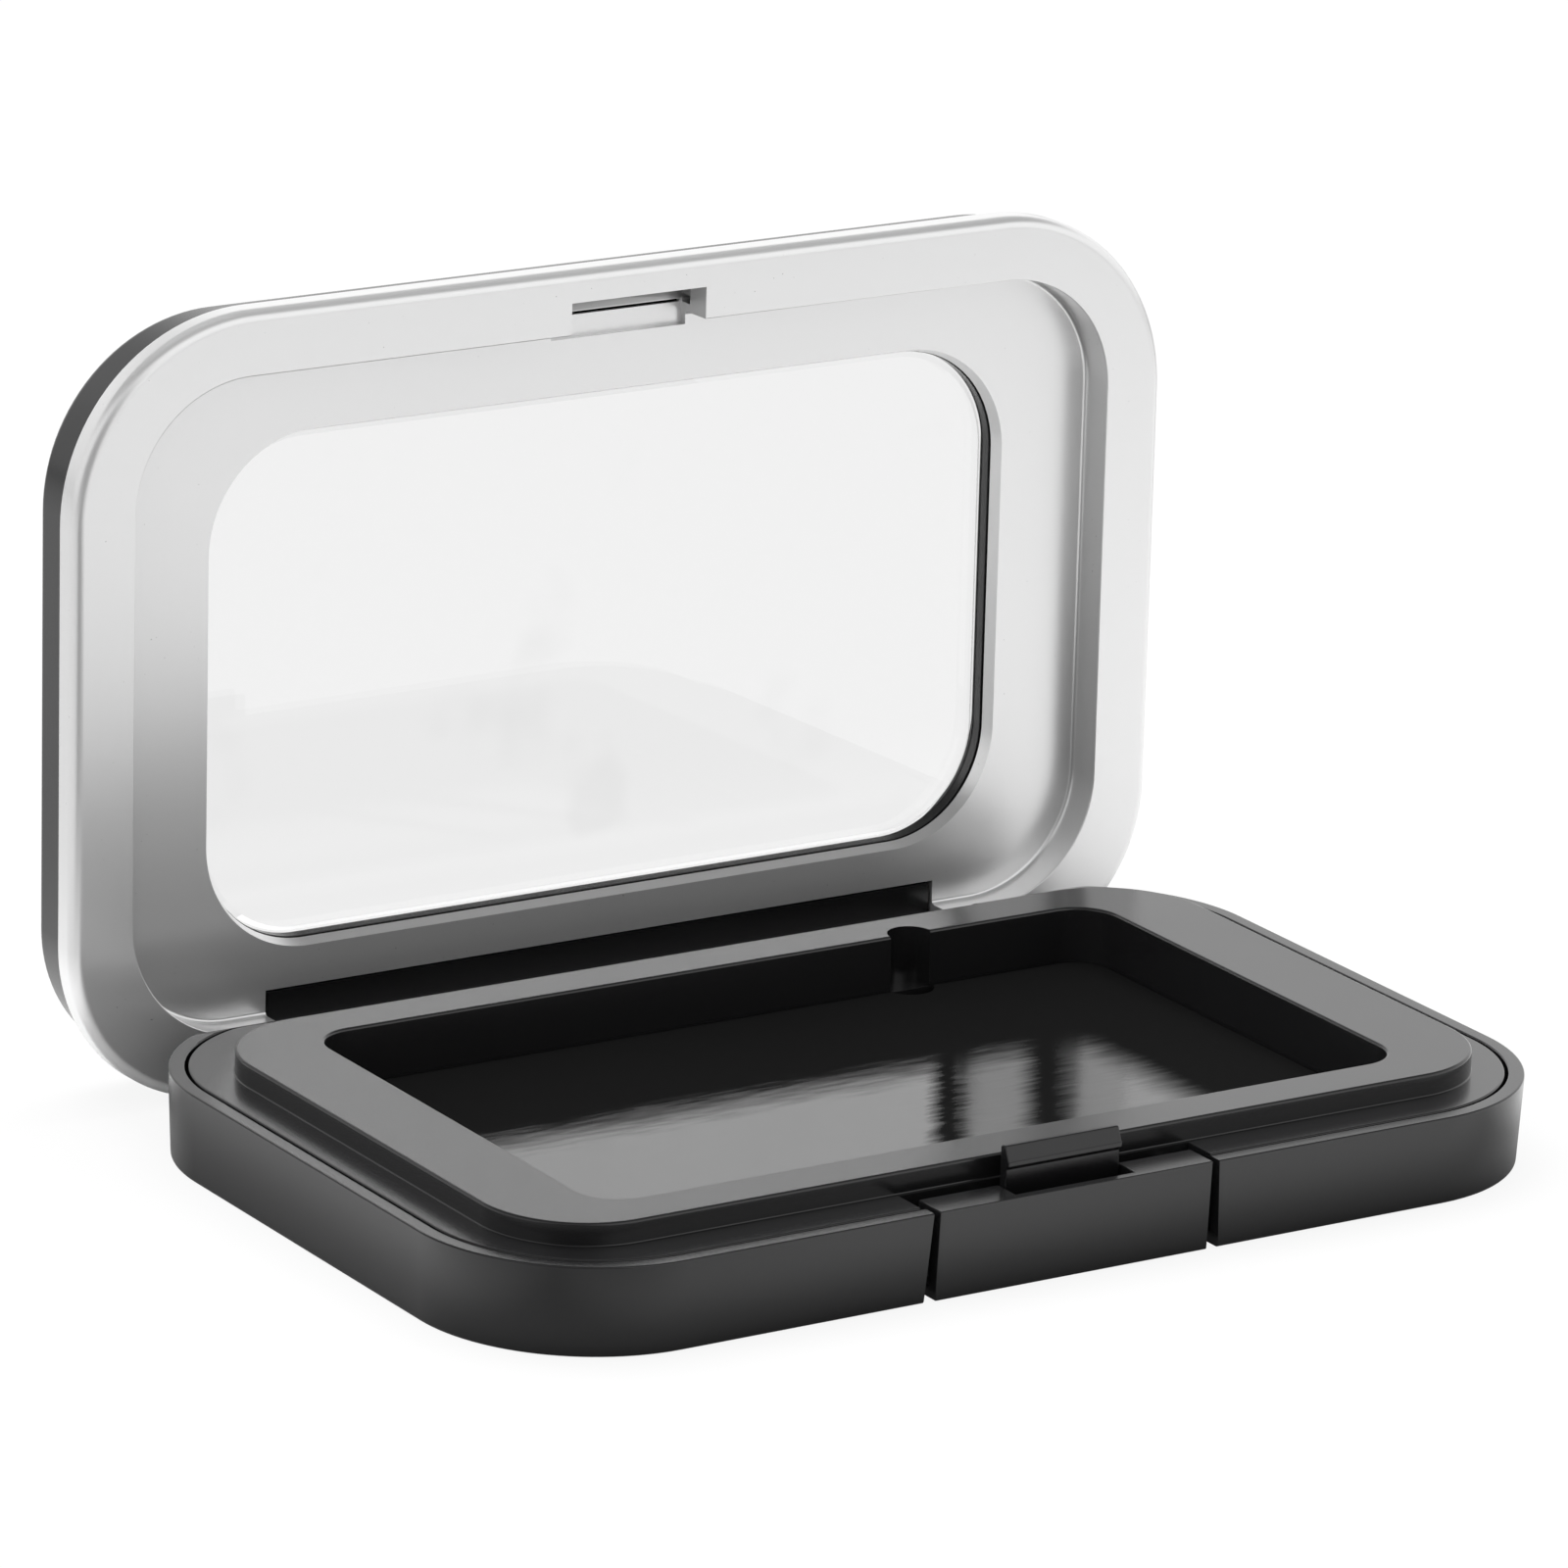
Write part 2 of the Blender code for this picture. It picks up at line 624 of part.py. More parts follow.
def build_button(material, slide):
    """Hollow button: front face, top plate and a short lower plate."""
    top = BUTTON_TOP
    foot = BUTTON_FOOT
    slope = DRAFT_INSET / RIM_HEIGHT
    front_top = BASE_FRONT
    front_low = BASE_FRONT + DRAFT_INSET - slope * foot
    inner = BASE_FRONT + BUTTON_FACE
    profile = [
        (front_low, foot + BUTTON_ROUND),
        (front_low + BUTTON_ROUND, foot),
        (BUTTON_BACK, foot),
        (BUTTON_BACK, foot + BUTTON_PLATE),
        (inner, foot + BUTTON_PLATE),
        (inner, top - BUTTON_PLATE),
        (BUTTON_BACK, top - BUTTON_PLATE),
        (BUTTON_BACK, top - BUTTON_ROUND),
        (BUTTON_BACK - BUTTON_ROUND, top),
        (front_top + BUTTON_ROUND, top),
        (front_top, top - BUTTON_ROUND),
    ]
    button = prism_x("push_button", profile, -BUTTON_HALF, BUTTON_HALF, material, slide)
    cut(button, box("hook_gap_cutter",
                    (-HOOK_LEFT - FIT_GAP, BASE_FRONT + BUTTON_LIP, SLIDER_HIGH - FIT_GAP),
                    (HOOK_RIGHT + FIT_GAP, BUTTON_BACK + OVERRUN, top + OVERRUN),
                    slide))
    soften(button)
    return button


def build_hook(material, slide):
    """Slider plate behind the button face, with the hook standing on it."""
    nose = HOOK_FRONT - HOOK_REACH
    nose_top = HOOK_TOP - HOOK_RAMP
    nose_low = nose_top - NOSE_LIP
    stem_low = SLIDER_HIGH - BUTTON_PLATE
    profile = [
        (HOOK_FRONT, stem_low),
        (HOOK_BACK - ARM_LAP / 2, stem_low),
        (HOOK_BACK - ARM_LAP / 2, SLIDER_HIGH),
        (HOOK_BACK, SLIDER_HIGH),
        (HOOK_BACK, HOOK_TOP - BUTTON_ROUND),
        (HOOK_BACK - BUTTON_ROUND, HOOK_TOP),
        (HOOK_BACK - HOOK_FLAT, HOOK_TOP),
        (nose, nose_top),
        (nose, nose_low),
        (HOOK_FRONT, nose_low - NOSE_SLOPE),
    ]
    hook = prism_x("latch_hook", profile, -HOOK_LEFT, HOOK_RIGHT, material, slide)
    unite(hook, box("slider_tool",
                    (-SLIDER_HALF, SLIDER_FRONT, SLIDER_LOW),
                    (SLIDER_HALF, HOOK_BACK, SLIDER_HIGH), slide, False))
    soften(hook)
    return hook


def lid_size():
    return (LID_WIDTH, LID_FRONT, LID_BACK, LID_CORNER, LID_BACK_CORNER)


def rounded_edge(size, radius):
    """Rings that round the face into the side, with their heights."""
    rings = []
    for step in range(EDGE_STEPS + 1):
        angle = math.pi / 2 * step / EDGE_STEPS
        inset = radius * (1 - math.sin(angle))
        rings.append((outline(size, -inset), radius * (1 - math.cos(angle))))
    return rings


def build_frame(material, axis):
    lid = lid_size()
    recess = (RECESS_WIDTH, RECESS_FRONT, RECESS_BACK, RECESS_CORNER)
    window = (WINDOW_WIDTH, WINDOW_FRONT, WINDOW_BACK, WINDOW_CORNER)
    quarter = 1 - math.cos(math.pi / 4)
    cove = RECESS_COVE
    spigot = COVER_INSET + COVER_WALL + FIT_GAP
    levels = [
        (outline(window, -WINDOW_DRAFT), FRAME_BACK),
        (outline(window), RECESS_SINK),
        (outline(recess, -cove), RECESS_SINK),
        (outline(recess, -quarter * cove), RECESS_SINK - quarter * cove),
        (outline(recess), RECESS_SINK - cove),
        (outline(recess), RECESS_EDGE_ROUND),
        (outline(recess, RECESS_EDGE_ROUND), 0.0),
        *rounded_edge(lid, LID_EDGE_ROUND),
        (outline(lid), SEAM_HEIGHT),
        (outline(lid, -spigot), SEAM_HEIGHT),
        (outline(lid, -spigot), SEAM_HEIGHT + SPIGOT_HEIGHT),
        (outline(lid, -spigot - SPIGOT_THICKNESS), SEAM_HEIGHT + SPIGOT_HEIGHT),
        (outline(lid, -spigot - SPIGOT_THICKNESS), SEAM_HEIGHT),
        (outline(recess, FRAME_WALL), SEAM_HEIGHT),
        (outline(recess, FRAME_WALL), FRAME_BACK - FRAME_WALL),
        (outline(recess), FRAME_BACK),
    ]
    rings = [(points, LID_FACE + level) for points, level in levels]
    frame = loft("lid_frame", rings, material, axis, ring_shaped=True)

    # Latch slot: a thicker block with its floor, the slot, the catch undercut
    # and the slit through the floor
    box_front = SLOT_FRONT + LATCH_BOX_SETBACK
    box_back = RECESS_FRONT - FRAME_WALL / 2
    unite(frame, box("latch_box_tool",
                     (SLOT_LEFT - LATCH_BOX_WALL, box_front, LID_FACE + SEAM_HEIGHT - LATCH_BOX_ROOT),
                     (SLOT_RIGHT + LATCH_BOX_WALL, box_back, LID_FACE + FRAME_BACK - LATCH_BOX_STEP),
                     axis, False))
    unite(frame, box("latch_floor_tool",
                     (SLOT_LEFT - LATCH_BOX_WALL, box_front, LID_FACE + RECESS_SINK + LATCH_BOX_ROOT),
                     (SLOT_RIGHT + LATCH_BOX_WALL, RECESS_FRONT + FRAME_WALL,
                      LID_FACE + FRAME_BACK - LATCH_BOX_STEP),
                     axis, False))
    catch = LID_FACE + CATCH_THICKNESS
    cut(frame, box("slot_cutter",
                   (SLOT_LEFT, SLOT_FRONT, LID_FACE - OVERRUN),
                   (SLOT_RIGHT, SLOT_FRONT + SLOT_LENGTH, LID_FACE + SLOT_SINK), axis))
    cut(frame, box("catch_cutter",
                   (SLOT_LEFT, SLOT_FRONT - CATCH_DEEP, catch),
                   (SLOT_RIGHT, SLOT_FRONT + CATCH_DEEP, LID_FACE + SLOT_SINK), axis))
    cut(frame, box("slit_cutter",
                   (SLOT_LEFT + SLIT_INSET, SLOT_FRONT, catch),
                   (SLOT_RIGHT - SLIT_INSET, SLOT_FRONT + SLIT_WIDTH, LID_FACE + COVER_TOP), axis))

    # Notch for the hinge block
    half = HINGE_HALF + FIT_GAP
    cut(frame, box("hinge_notch_cutter",
                   (-half, BLOCK_FRONT - FIT_GAP, LID_FACE - OVERRUN),
                   (half, BASE_BACK + OVERRUN, LID_FACE + COVER_TOP), axis))
    soften(frame)
    return frame


def cover_opening():
    """Plan of the hole in the cover, a little smaller than the frame's."""
    step = WINDOW_DRAFT + COVER_LEDGE
    return (WINDOW_WIDTH - 2 * step, WINDOW_FRONT + step, WINDOW_BACK - step, WINDOW_CORNER - step)


def build_cover(material, axis):
    lid = lid_size()
    hole = cover_opening()
    quarter = 1 - math.cos(math.pi / 4)
    outer = -COVER_INSET
    inner = outer - COVER_WALL
    low = SEAM_HEIGHT + FIT_GAP
    collar_low = FRAME_BACK + FIT_GAP
    collar = PANE_LAP + FIT_GAP + COVER_COLLAR
    levels = [
        (outline(lid, outer), low),
        (outline(lid, outer), COVER_TOP - COVER_ROUND),
        (outline(lid, outer - quarter * COVER_ROUND), COVER_TOP - quarter * COVER_ROUND),
        (outline(lid, outer - COVER_ROUND), COVER_TOP),
        (outline(hole, PANE_LAP + FIT_GAP), COVER_TOP),
        (outline(hole, PANE_LAP + FIT_GAP), REBATE_FLOOR),
        (outline(hole), REBATE_FLOOR),
        (outline(hole), collar_low),
        (outline(hole, collar), collar_low),
        (outline(hole, collar), COVER_CEILING),
        (outline(lid, inner), COVER_CEILING),
        (outline(lid, inner), low),
    ]
    rings = [(points, LID_FACE + level) for points, level in levels]
    cover = loft("lid_cover", rings, material, axis, ring_shaped=True)
    soften(cover)
    return cover


def build_pane(material, axis):
    """Pane with a plug that fills the cover's hole, bevelled round its edge."""
    hole = cover_opening()
    low = REBATE_FLOOR + FIT_GAP
    top = low + PANE_THICKNESS
    plug = low - PLUG_HEIGHT
    levels = [
        (outline(hole, -PLUG_GAP - PLUG_BEVEL), plug),
        (outline(hole, -PLUG_GAP), plug + PLUG_BEVEL),
        (outline(hole, -PLUG_GAP), low),
        (outline(hole, PANE_LAP - PANE_ROUND), low),
        (outline(hole, PANE_LAP), low + PANE_ROUND),
        (outline(hole, PANE_LAP), top - PANE_ROUND),
        (outline(hole, PANE_LAP - PANE_ROUND), top),
    ]
    rings = [(points, LID_FACE + level) for points, level in levels]
    pane = loft("window_pane", rings, material, axis)
    soften(pane)
    return pane


def build_hinge_block(material, axis):
    face = LID_FACE + RECESS_SINK + BLOCK_SINK
    back = LID_FACE + COVER_CEILING - FIT_GAP
    seam = LID_FACE + SEAM_HEIGHT
    web_low = LID_FACE - WEB_DROP
    band_low = LID_FACE + BAND_SINK
    band_back = WEB_BACK + BAND_DEPTH
    profile = [
        (BLOCK_FRONT, face),
        (WEB_FRONT, face),
        (WEB_FRONT, web_low),
        (WEB_BACK, web_low),
        (WEB_BACK, band_low),
        (band_back, band_low),
        (band_back, seam),
        (WEB_BACK, seam),
        (WEB_BACK, back),
        (BLOCK_FRONT, back),
    ]
    block = prism_x("hinge_block", profile, -HINGE_HALF, HINGE_HALF, material, axis)
    _inner, arm, _outer = knuckle_spans()
    for side in (1, -1):
        low, high = mirrored(arm, side)
        unite(block, prism_x("arm_tool", arm_profile(), low, high, None, axis))
    cut(block, pin_bore(axis))
    soften(block)
    return block


def main():
    clear_scene()
    satin_black = make_material("satin_black", (0.018, 0.018, 0.019), 0.42)
    gloss_black = make_material("gloss_black", (0.014, 0.014, 0.015), 0.16)
    satin_silver = make_material("satin_silver", (0.72, 0.72, 0.73), 0.38, 0.85)
    magnet = make_material("magnet_film", (0.03, 0.03, 0.03), 0.12)
    clear = make_material("clear_pane", (0.95, 0.96, 0.96), 0.04, 0.0, 0.18)
    steel = make_material("steel", (0.6, 0.6, 0.6), 0.3, 1.0)

    lid_axis = make_empty("lid_axis", (0.0, AXIS_Y, AXIS_Z))
    button_slide = make_empty("button_slide", (0.0, BUTTON_BACK, SLIDER_Z))

    build_shell(satin_black)
    build_insert(satin_black)
    build_sheet(magnet)
    build_pins(steel)
    build_springs(steel)
    build_button(satin_black, button_slide)
    build_hook(gloss_black, button_slide)
    build_frame(satin_silver, lid_axis)
    build_cover(satin_black, lid_axis)
    build_pane(clear, lid_axis)
    build_hinge_block(satin_black, lid_axis)
    lid_axis.rotation_euler = (-OPEN_ANGLE, 0.0, 0.0)
    bpy.context.view_layer.update()


main()
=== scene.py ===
import math

import bmesh
import bpy
from mathutils import Matrix, Vector


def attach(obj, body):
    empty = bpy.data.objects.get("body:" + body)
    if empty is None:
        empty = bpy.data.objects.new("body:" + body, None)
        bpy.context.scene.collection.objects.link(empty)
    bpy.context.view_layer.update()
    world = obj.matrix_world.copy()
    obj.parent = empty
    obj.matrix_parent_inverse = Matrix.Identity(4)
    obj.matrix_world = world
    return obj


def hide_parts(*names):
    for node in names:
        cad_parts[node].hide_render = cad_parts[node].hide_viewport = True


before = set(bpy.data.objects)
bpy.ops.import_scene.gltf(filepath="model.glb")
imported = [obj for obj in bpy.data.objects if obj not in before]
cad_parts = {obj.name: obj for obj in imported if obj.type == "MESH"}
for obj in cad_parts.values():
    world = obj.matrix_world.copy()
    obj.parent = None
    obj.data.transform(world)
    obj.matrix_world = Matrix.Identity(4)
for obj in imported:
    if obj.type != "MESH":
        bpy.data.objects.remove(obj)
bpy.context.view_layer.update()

mm = 0.001

stageSizes = {
    "floorSize": 6.0,
    "floorShadow": 0.12,   # share of the real floor shading that the camera sees
    "floorLevel": 0.80,
    "roomLevel": 0.62,     # light that reaches the case from all sides
    "roomFront": 1.15,     # what shiny faces mirror on the camera's side
    "roomBehind": 1.08,    # and behind the case
    "roomThrough": 1.25,   # and through the window
    "roomAbove": 0.20,     # and overhead
    "cameraShade": 0.80,   # how much darker it is right around the camera
    "nearShade": 0.52,     # and on the floor next to the case
    "backShade": 0.42,     # and on the floor behind it and left of it
    "leftShade": 0.35,     # and in the room on the left
}

# Where those shades begin and end: on the floor in millimetres, in the room in parts of a
# direction of length 1.
shadeEdges = {
    "floorCamera": (80.0, 130.0),
    "floorAside": (55.0, 105.0),
    "floorNear": (3.0, 14.0),
    "floorBack": (60.0, 120.0),
    "floorLeft": (70.0, 110.0),
    "roomBehind": (-0.7, 0.35),
    "roomAbove": (0.38, 0.68),
    "roomCamera": (0.72, 0.95),
    "roomLeft": (0.1, 0.5),
}
shadePlaces = {
    "towardsCamera": (-0.547, -0.837),      # on the floor, from the point below
    "floorCentre": 40.0,
    "caseHalf": (59.0, 38.0),
    "headingCamera": (-0.55, -0.835),       # in the room
    "behindTurn": 0.35,
    "frontLift": 0.22,     # how much lower the room turns dark in front
}

cameraSizes = {
    "focal": 222.5,
    "sensor": 36.0,
    "location": (-476.22 * mm, -712.46 * mm, 302.85 * mm),
    "right": (0.8414, -0.5393, 0.0348),
    "up": (0.1326, 0.2685, 0.9541),
}

# The case, in millimetres. Plans are rounded rectangles: width, front, back, corner,
# and a corner of its own for the back where it differs.
caseSizes = {
    "basePlan": (118.0, -37.8, 37.8, 17.4),
    "plateauPlan": (106.8, -32.03, 29.87, 10.2),
    "wellPlan": (88.4, -26.93, 24.77, 4.2),
    "lidPlan": (121.86, -38.64, 37.6, 19.1, 16.5),
    "recessPlan": (108.9, -32.39, 31.47, 12.2),
    "windowPlan": (89.24, -25.62, 25.12, 11.3),
    "rim": 8.65,
    "gap": 0.3,
    "hingeY": 34.3,
    "hingeZ": 3.48,
    "openAngle": 91.0,
    "frameBack": 4.95,     # height of the silver half above the lid's face
    "coverTop": 9.6,
    "seam": 2.75,
    "cornerSteps": 28,
    "past": 2.0,           # how far a cutter passes the face that it cuts
    "farSide": 62.0,       # cutters that end outside the case
    "farBack": 40.0,
    "farTop": 12.0,
    "root": 0.5,           # how far a part that is joined on reaches into what carries it
}
edgeSizes = {"shell": 0.09, "tray": 0.09, "silver": 0.07, "cover": 0.08, "pin": 0.12}
lidFace = caseSizes["rim"] + caseSizes["gap"]


class Wire:
    # a socket that adds Math nodes wherever it stands in an expression
    def __init__(self, graph, socket):
        self.graph = graph
        self.socket = socket

    def math(self, operation, *others):
        return self.graph.add("ShaderNodeMath", {"operation": operation}, (self, *others))

    def __add__(self, other):
        return self.math("ADD", other)

    __radd__ = __add__

    def __sub__(self, other):
        return self.math("SUBTRACT", other)

    def __rsub__(self, other):
        return self.graph.add("ShaderNodeMath", {"operation": "SUBTRACT"}, (other, self))

    def __mul__(self, other):
        return self.math("MULTIPLY", other)

    __rmul__ = __mul__

    def __truediv__(self, other):
        return self.math("DIVIDE", other)

    def __neg__(self):
        return self.math("MULTIPLY", -1.0)

    def smooth(self, low, high):
        settings = {"interpolation_type": "SMOOTHSTEP"}
        return self.graph.add("ShaderNodeMapRange", settings,
                              {"Value": self, "From Min": low, "From Max": high})

    def out(self, name):
        return Wire(self.graph, self.socket.node.outputs[name])


class Graph:
    def __init__(self, tree):
        self.tree = tree

    def add(self, kind, settings=None, inputs=()):
        # settings first, then sockets by name or in order; gives the node's first output
        node = self.tree.nodes.new(kind)
        for name, value in (settings or {}).items():
            setattr(node, name, value)
        pairs = inputs.items() if isinstance(inputs, dict) else enumerate(inputs)
        for key, value in pairs:
            self.join(node.inputs[key], value)
        return Wire(self, node.outputs[0]) if node.outputs else None

    def join(self, socket, value):
        if isinstance(value, Wire):
            self.tree.links.new(value.socket, socket)
        else:
            socket.default_value = value


# Finishes

def newMaterial(name):
    material = bpy.data.materials.new(name)
    material.use_nodes = True
    material.node_tree.nodes.clear()
    graph = Graph(material.node_tree)
    return material, graph


def finishMaterial(graph, shader):
    graph.add("ShaderNodeOutputMaterial", None, {"Surface": shader})


def satinBlack():
    material, graph = newMaterial("satinBlack")
    place = graph.add("ShaderNodeTexCoord").out("Object")
    grain = graph.add("ShaderNodeTexNoise", None, {"Vector": place, "Scale": 5000.0, "Detail": 2.0})
    patches = graph.add("ShaderNodeTexNoise", None, {"Vector": place, "Scale": 60.0, "Detail": 3.0})
    bump = graph.add("ShaderNodeBump", None, {"Strength": 0.15, "Distance": 0.00002, "Height": grain})
    shader = graph.add("ShaderNodeBsdfPrincipled", None, {
        "Base Color": (0.010, 0.010, 0.0104, 1.0),
        "Roughness": 0.20 + 0.08 * patches,
        "IOR": 1.42,
        "Coat Weight": 0.5,
        "Coat Roughness": 0.2,
        "Coat IOR": 1.42,
        "Normal": bump,
    })
    finishMaterial(graph, shader)
    return material


def glossBlack():
    material, graph = newMaterial("glossBlack")
    place = graph.add("ShaderNodeTexCoord").out("Object")
    waves = graph.add("ShaderNodeTexNoise", None, {"Vector": place, "Scale": 500.0, "Detail": 2.0})
    bump = graph.add("ShaderNodeBump", None, {"Strength": 0.2, "Distance": 0.00004, "Height": waves})
    shader = graph.add("ShaderNodeBsdfPrincipled", None, {
        "Base Color": (0.008, 0.008, 0.0085, 1.0),
        "Roughness": 0.18 + 0.1 * waves,
        "Normal": bump,
    })
    finishMaterial(graph, shader)
    return material


slotPaintedShade = {"above": 71.0, "deeper": 43.7, "loss": 0.42}   # painted shade: the silver is darker inside the latch slot, where it lies in shade


def satinSilver():
    material, graph = newMaterial("satinSilver")
    place = graph.add("ShaderNodeTexCoord").out("Object")
    spot = graph.add("ShaderNodeSeparateXYZ", None, {"Vector": place})
    # painted shade: high and deep mark the inside of the latch slot, where the silver's base colour is made
    # darker
    high = (spot.out("Z") * 1000.0 - slotPaintedShade["above"]).smooth(0.0, 0.3)
    deep = (spot.out("Y") * 1000.0 - slotPaintedShade["deeper"]).smooth(0.0, 0.2)
    flake = graph.add("ShaderNodeTexNoise", None, {"Vector": place, "Scale": 3500.0, "Detail": 3.0})
    bump = graph.add("ShaderNodeBump", None, {"Strength": 0.1, "Distance": 0.00003, "Height": flake})
    shader = graph.add("ShaderNodeBsdfPrincipled", None, {
        "Base Color": 0.82 - slotPaintedShade["loss"] * high * deep,
        "Metallic": 0.72,
        "Roughness": 0.26 + 0.06 * flake,
        "Normal": bump,
    })
    finishMaterial(graph, shader)
    return material


# Painted shade in the film's reflection, in millimetres: bands with their half widths where the film turns
# dark and matt, and the places where it fades to dark towards the back and the right.
filmShadeSizes = {
    "bands": ((11.1, 2.9), (22.3, 3.9)),
    "back": (-1.0, 7.5),
    "right": (25.0, 32.0),
}


def magnetFilm():
    material, graph = newMaterial("magnetFilm")
    place = graph.add("ShaderNodeTexCoord").out("Object")
    stretched = graph.add("ShaderNodeMapping", None, {"Vector": place, "Scale": (0.12, 1.0, 1.0)})
    streaks = graph.add("ShaderNodeTexNoise", None, {"Vector": stretched, "Scale": 1600.0, "Detail": 3.0})
    bump = graph.add("ShaderNodeBump", None, {"Strength": 0.4, "Distance": 0.00003, "Height": streaks})
    spot = graph.add("ShaderNodeSeparateXYZ", None, {"Vector": place})
    ripple = streaks - 0.5
    x, y = spot.out("X") * 1000.0, spot.out("Y") * 1000.0
    # painted shade: kept is low in the bands and towards the back and the right, where the film shows
    # near-black diffuse instead of its reflection
    across = x - 0.66 * y + 2.5 * ripple
    kept = 1.0 - (y + 5.0 * ripple).smooth(*filmShadeSizes["back"])
    kept = kept * (1.0 - (x + 2.5 * ripple).smooth(*filmShadeSizes["right"]))
    for middle, reach in filmShadeSizes["bands"]:
        kept = kept * (across - middle).math("ABSOLUTE").smooth(0.1 * reach, reach)
    glossy = graph.add("ShaderNodeBsdfPrincipled", None, {
        "Base Color": (0.005, 0.005, 0.005, 1.0),
        "Roughness": 0.08 + 0.10 * streaks,
        "IOR": 2.4,
        "Normal": bump,
    })
    shadedDiffuse = graph.add("ShaderNodeBsdfDiffuse", None, {"Color": (0.009, 0.009, 0.009, 1.0)})
    finishMaterial(graph, graph.add("ShaderNodeMixShader", None, [1.0 - kept, glossy, shadedDiffuse]))
    return material


def clearPane():
    material, graph = newMaterial("clearPane")
    place = graph.add("ShaderNodeTexCoord").out("Object")
    smudges = graph.add("ShaderNodeTexNoise", None, {"Vector": place, "Scale": 70.0, "Detail": 2.0})
    shader = graph.add("ShaderNodeBsdfPrincipled", None, {
        "Base Color": 0.90 - 0.04 * smudges.smooth(0.60, 0.72),
        "Roughness": 0.0,
        "IOR": 1.4,
        "Transmission Weight": 1.0,
    })
    finishMaterial(graph, shader)
    return material


def bareSteel():
    material, graph = newMaterial("bareSteel")
    place = graph.add("ShaderNodeTexCoord").out("Object")
    lines = graph.add("ShaderNodeTexNoise", None, {"Vector": place, "Scale": 2500.0, "Detail": 2.0})
    shader = graph.add("ShaderNodeBsdfPrincipled", None, {
        "Base Color": (0.55, 0.55, 0.55, 1.0),
        "Metallic": 1.0,
        "Roughness": 0.22 + 0.12 * lines,
    })
    finishMaterial(graph, shader)
    return material


# Node trees for what is swept or lofted

def newTree(name, floats, counts=(), materials=()):
    tree = bpy.data.node_groups.new(name, "GeometryNodeTree")
    for kind, keys in (("Float", floats), ("Int", counts), ("Material", materials)):
        for key in keys:
            tree.interface.new_socket(key, in_out="INPUT", socket_type="NodeSocket" + kind)
    tree.interface.new_socket("Mesh", in_out="OUTPUT", socket_type="NodeSocketGeometry")
    graph = Graph(tree)
    return tree, graph, graph.add("NodeGroupInput")


def finishTree(graph, given, geometry):
    real = graph.add("GeometryNodeRealizeInstances", None, {"Geometry": geometry})
    finished = graph.add("GeometryNodeSetMaterial", None,
                         {"Geometry": real, "Material": given.out("Material")})
    graph.add("NodeGroupOutput", None, {"Mesh": finished})


ringNames = ("Width", "Front", "Back", "Corner", "Back Corner", "Height")


def makeBandTree():
    # a band between two rounded-rectangle rings; bulge 1 or -1 rounds it, 0 leaves it straight
    floats = [name + " " + end for end in "AB" for name in ringNames]
    tree, graph, given = newTree("roundedBand", [*floats, "Bulge"], ("Rows", "Corner Steps"))
    steps = given.out("Corner Steps")
    rows = given.out("Rows")
    around = 4 * (steps + 1) + 1
    grid = graph.add("GeometryNodeMeshGrid", None, {"Vertices X": rows + 1, "Vertices Y": around})
    index = graph.add("GeometryNodeInputIndex")
    row = ((index + 0.5) / around).math("FLOOR")
    column = index - row * around
    corner = ((column + 0.5) / (steps + 1)).math("FLOOR")
    angle = (corner + (column - corner * (steps + 1)) / steps) * (math.pi / 2)
    middle = (corner + 0.5) * (math.pi / 2)
    sideX = middle.math("COSINE").math("SIGN")
    sideY = middle.math("SINE").math("SIGN")
    quarter = row / rows * (math.pi / 2)
    rise = quarter.math("SINE")
    fall = 1.0 - quarter.math("COSINE")
    bulge = given.out("Bulge")
    outwards = bulge.math("MAXIMUM", 0.0)
    inwards = (-bulge).math("MAXIMUM", 0.0)
    straight = (1.0 - outwards - inwards) * (row / rows)
    planShare = straight + outwards * fall + inwards * rise
    heightShare = straight + outwards * rise + inwards * fall
    ring = []
    for name in ringNames:
        start, end = given.out(name + " A"), given.out(name + " B")
        ring.append(start + (end - start) * (heightShare if name == "Height" else planShare))
    width, front, back, radius, backRadius, height = ring
    radius = radius + (backRadius - radius) * (0.5 + 0.5 * sideY)
    placeX = sideX * (width / 2 - radius) + radius * angle.math("COSINE")
    placeY = (front + back) / 2 + sideY * ((back - front) / 2 - radius)
    placeY = placeY + radius * angle.math("SINE")
    place = graph.add("ShaderNodeCombineXYZ", None, [placeX, placeY, height])
    moved = graph.add("GeometryNodeSetPosition", None, {"Geometry": grid, "Position": place})
    graph.add("NodeGroupOutput", None, {"Mesh": moved})
    return tree


bandTree = makeBandTree()


def planNames(label):
    return [label + " " + name for name in ringNames[:5]]


def planSizes(label, plan):
    return dict(zip(planNames(label), (*plan, plan[-1])))


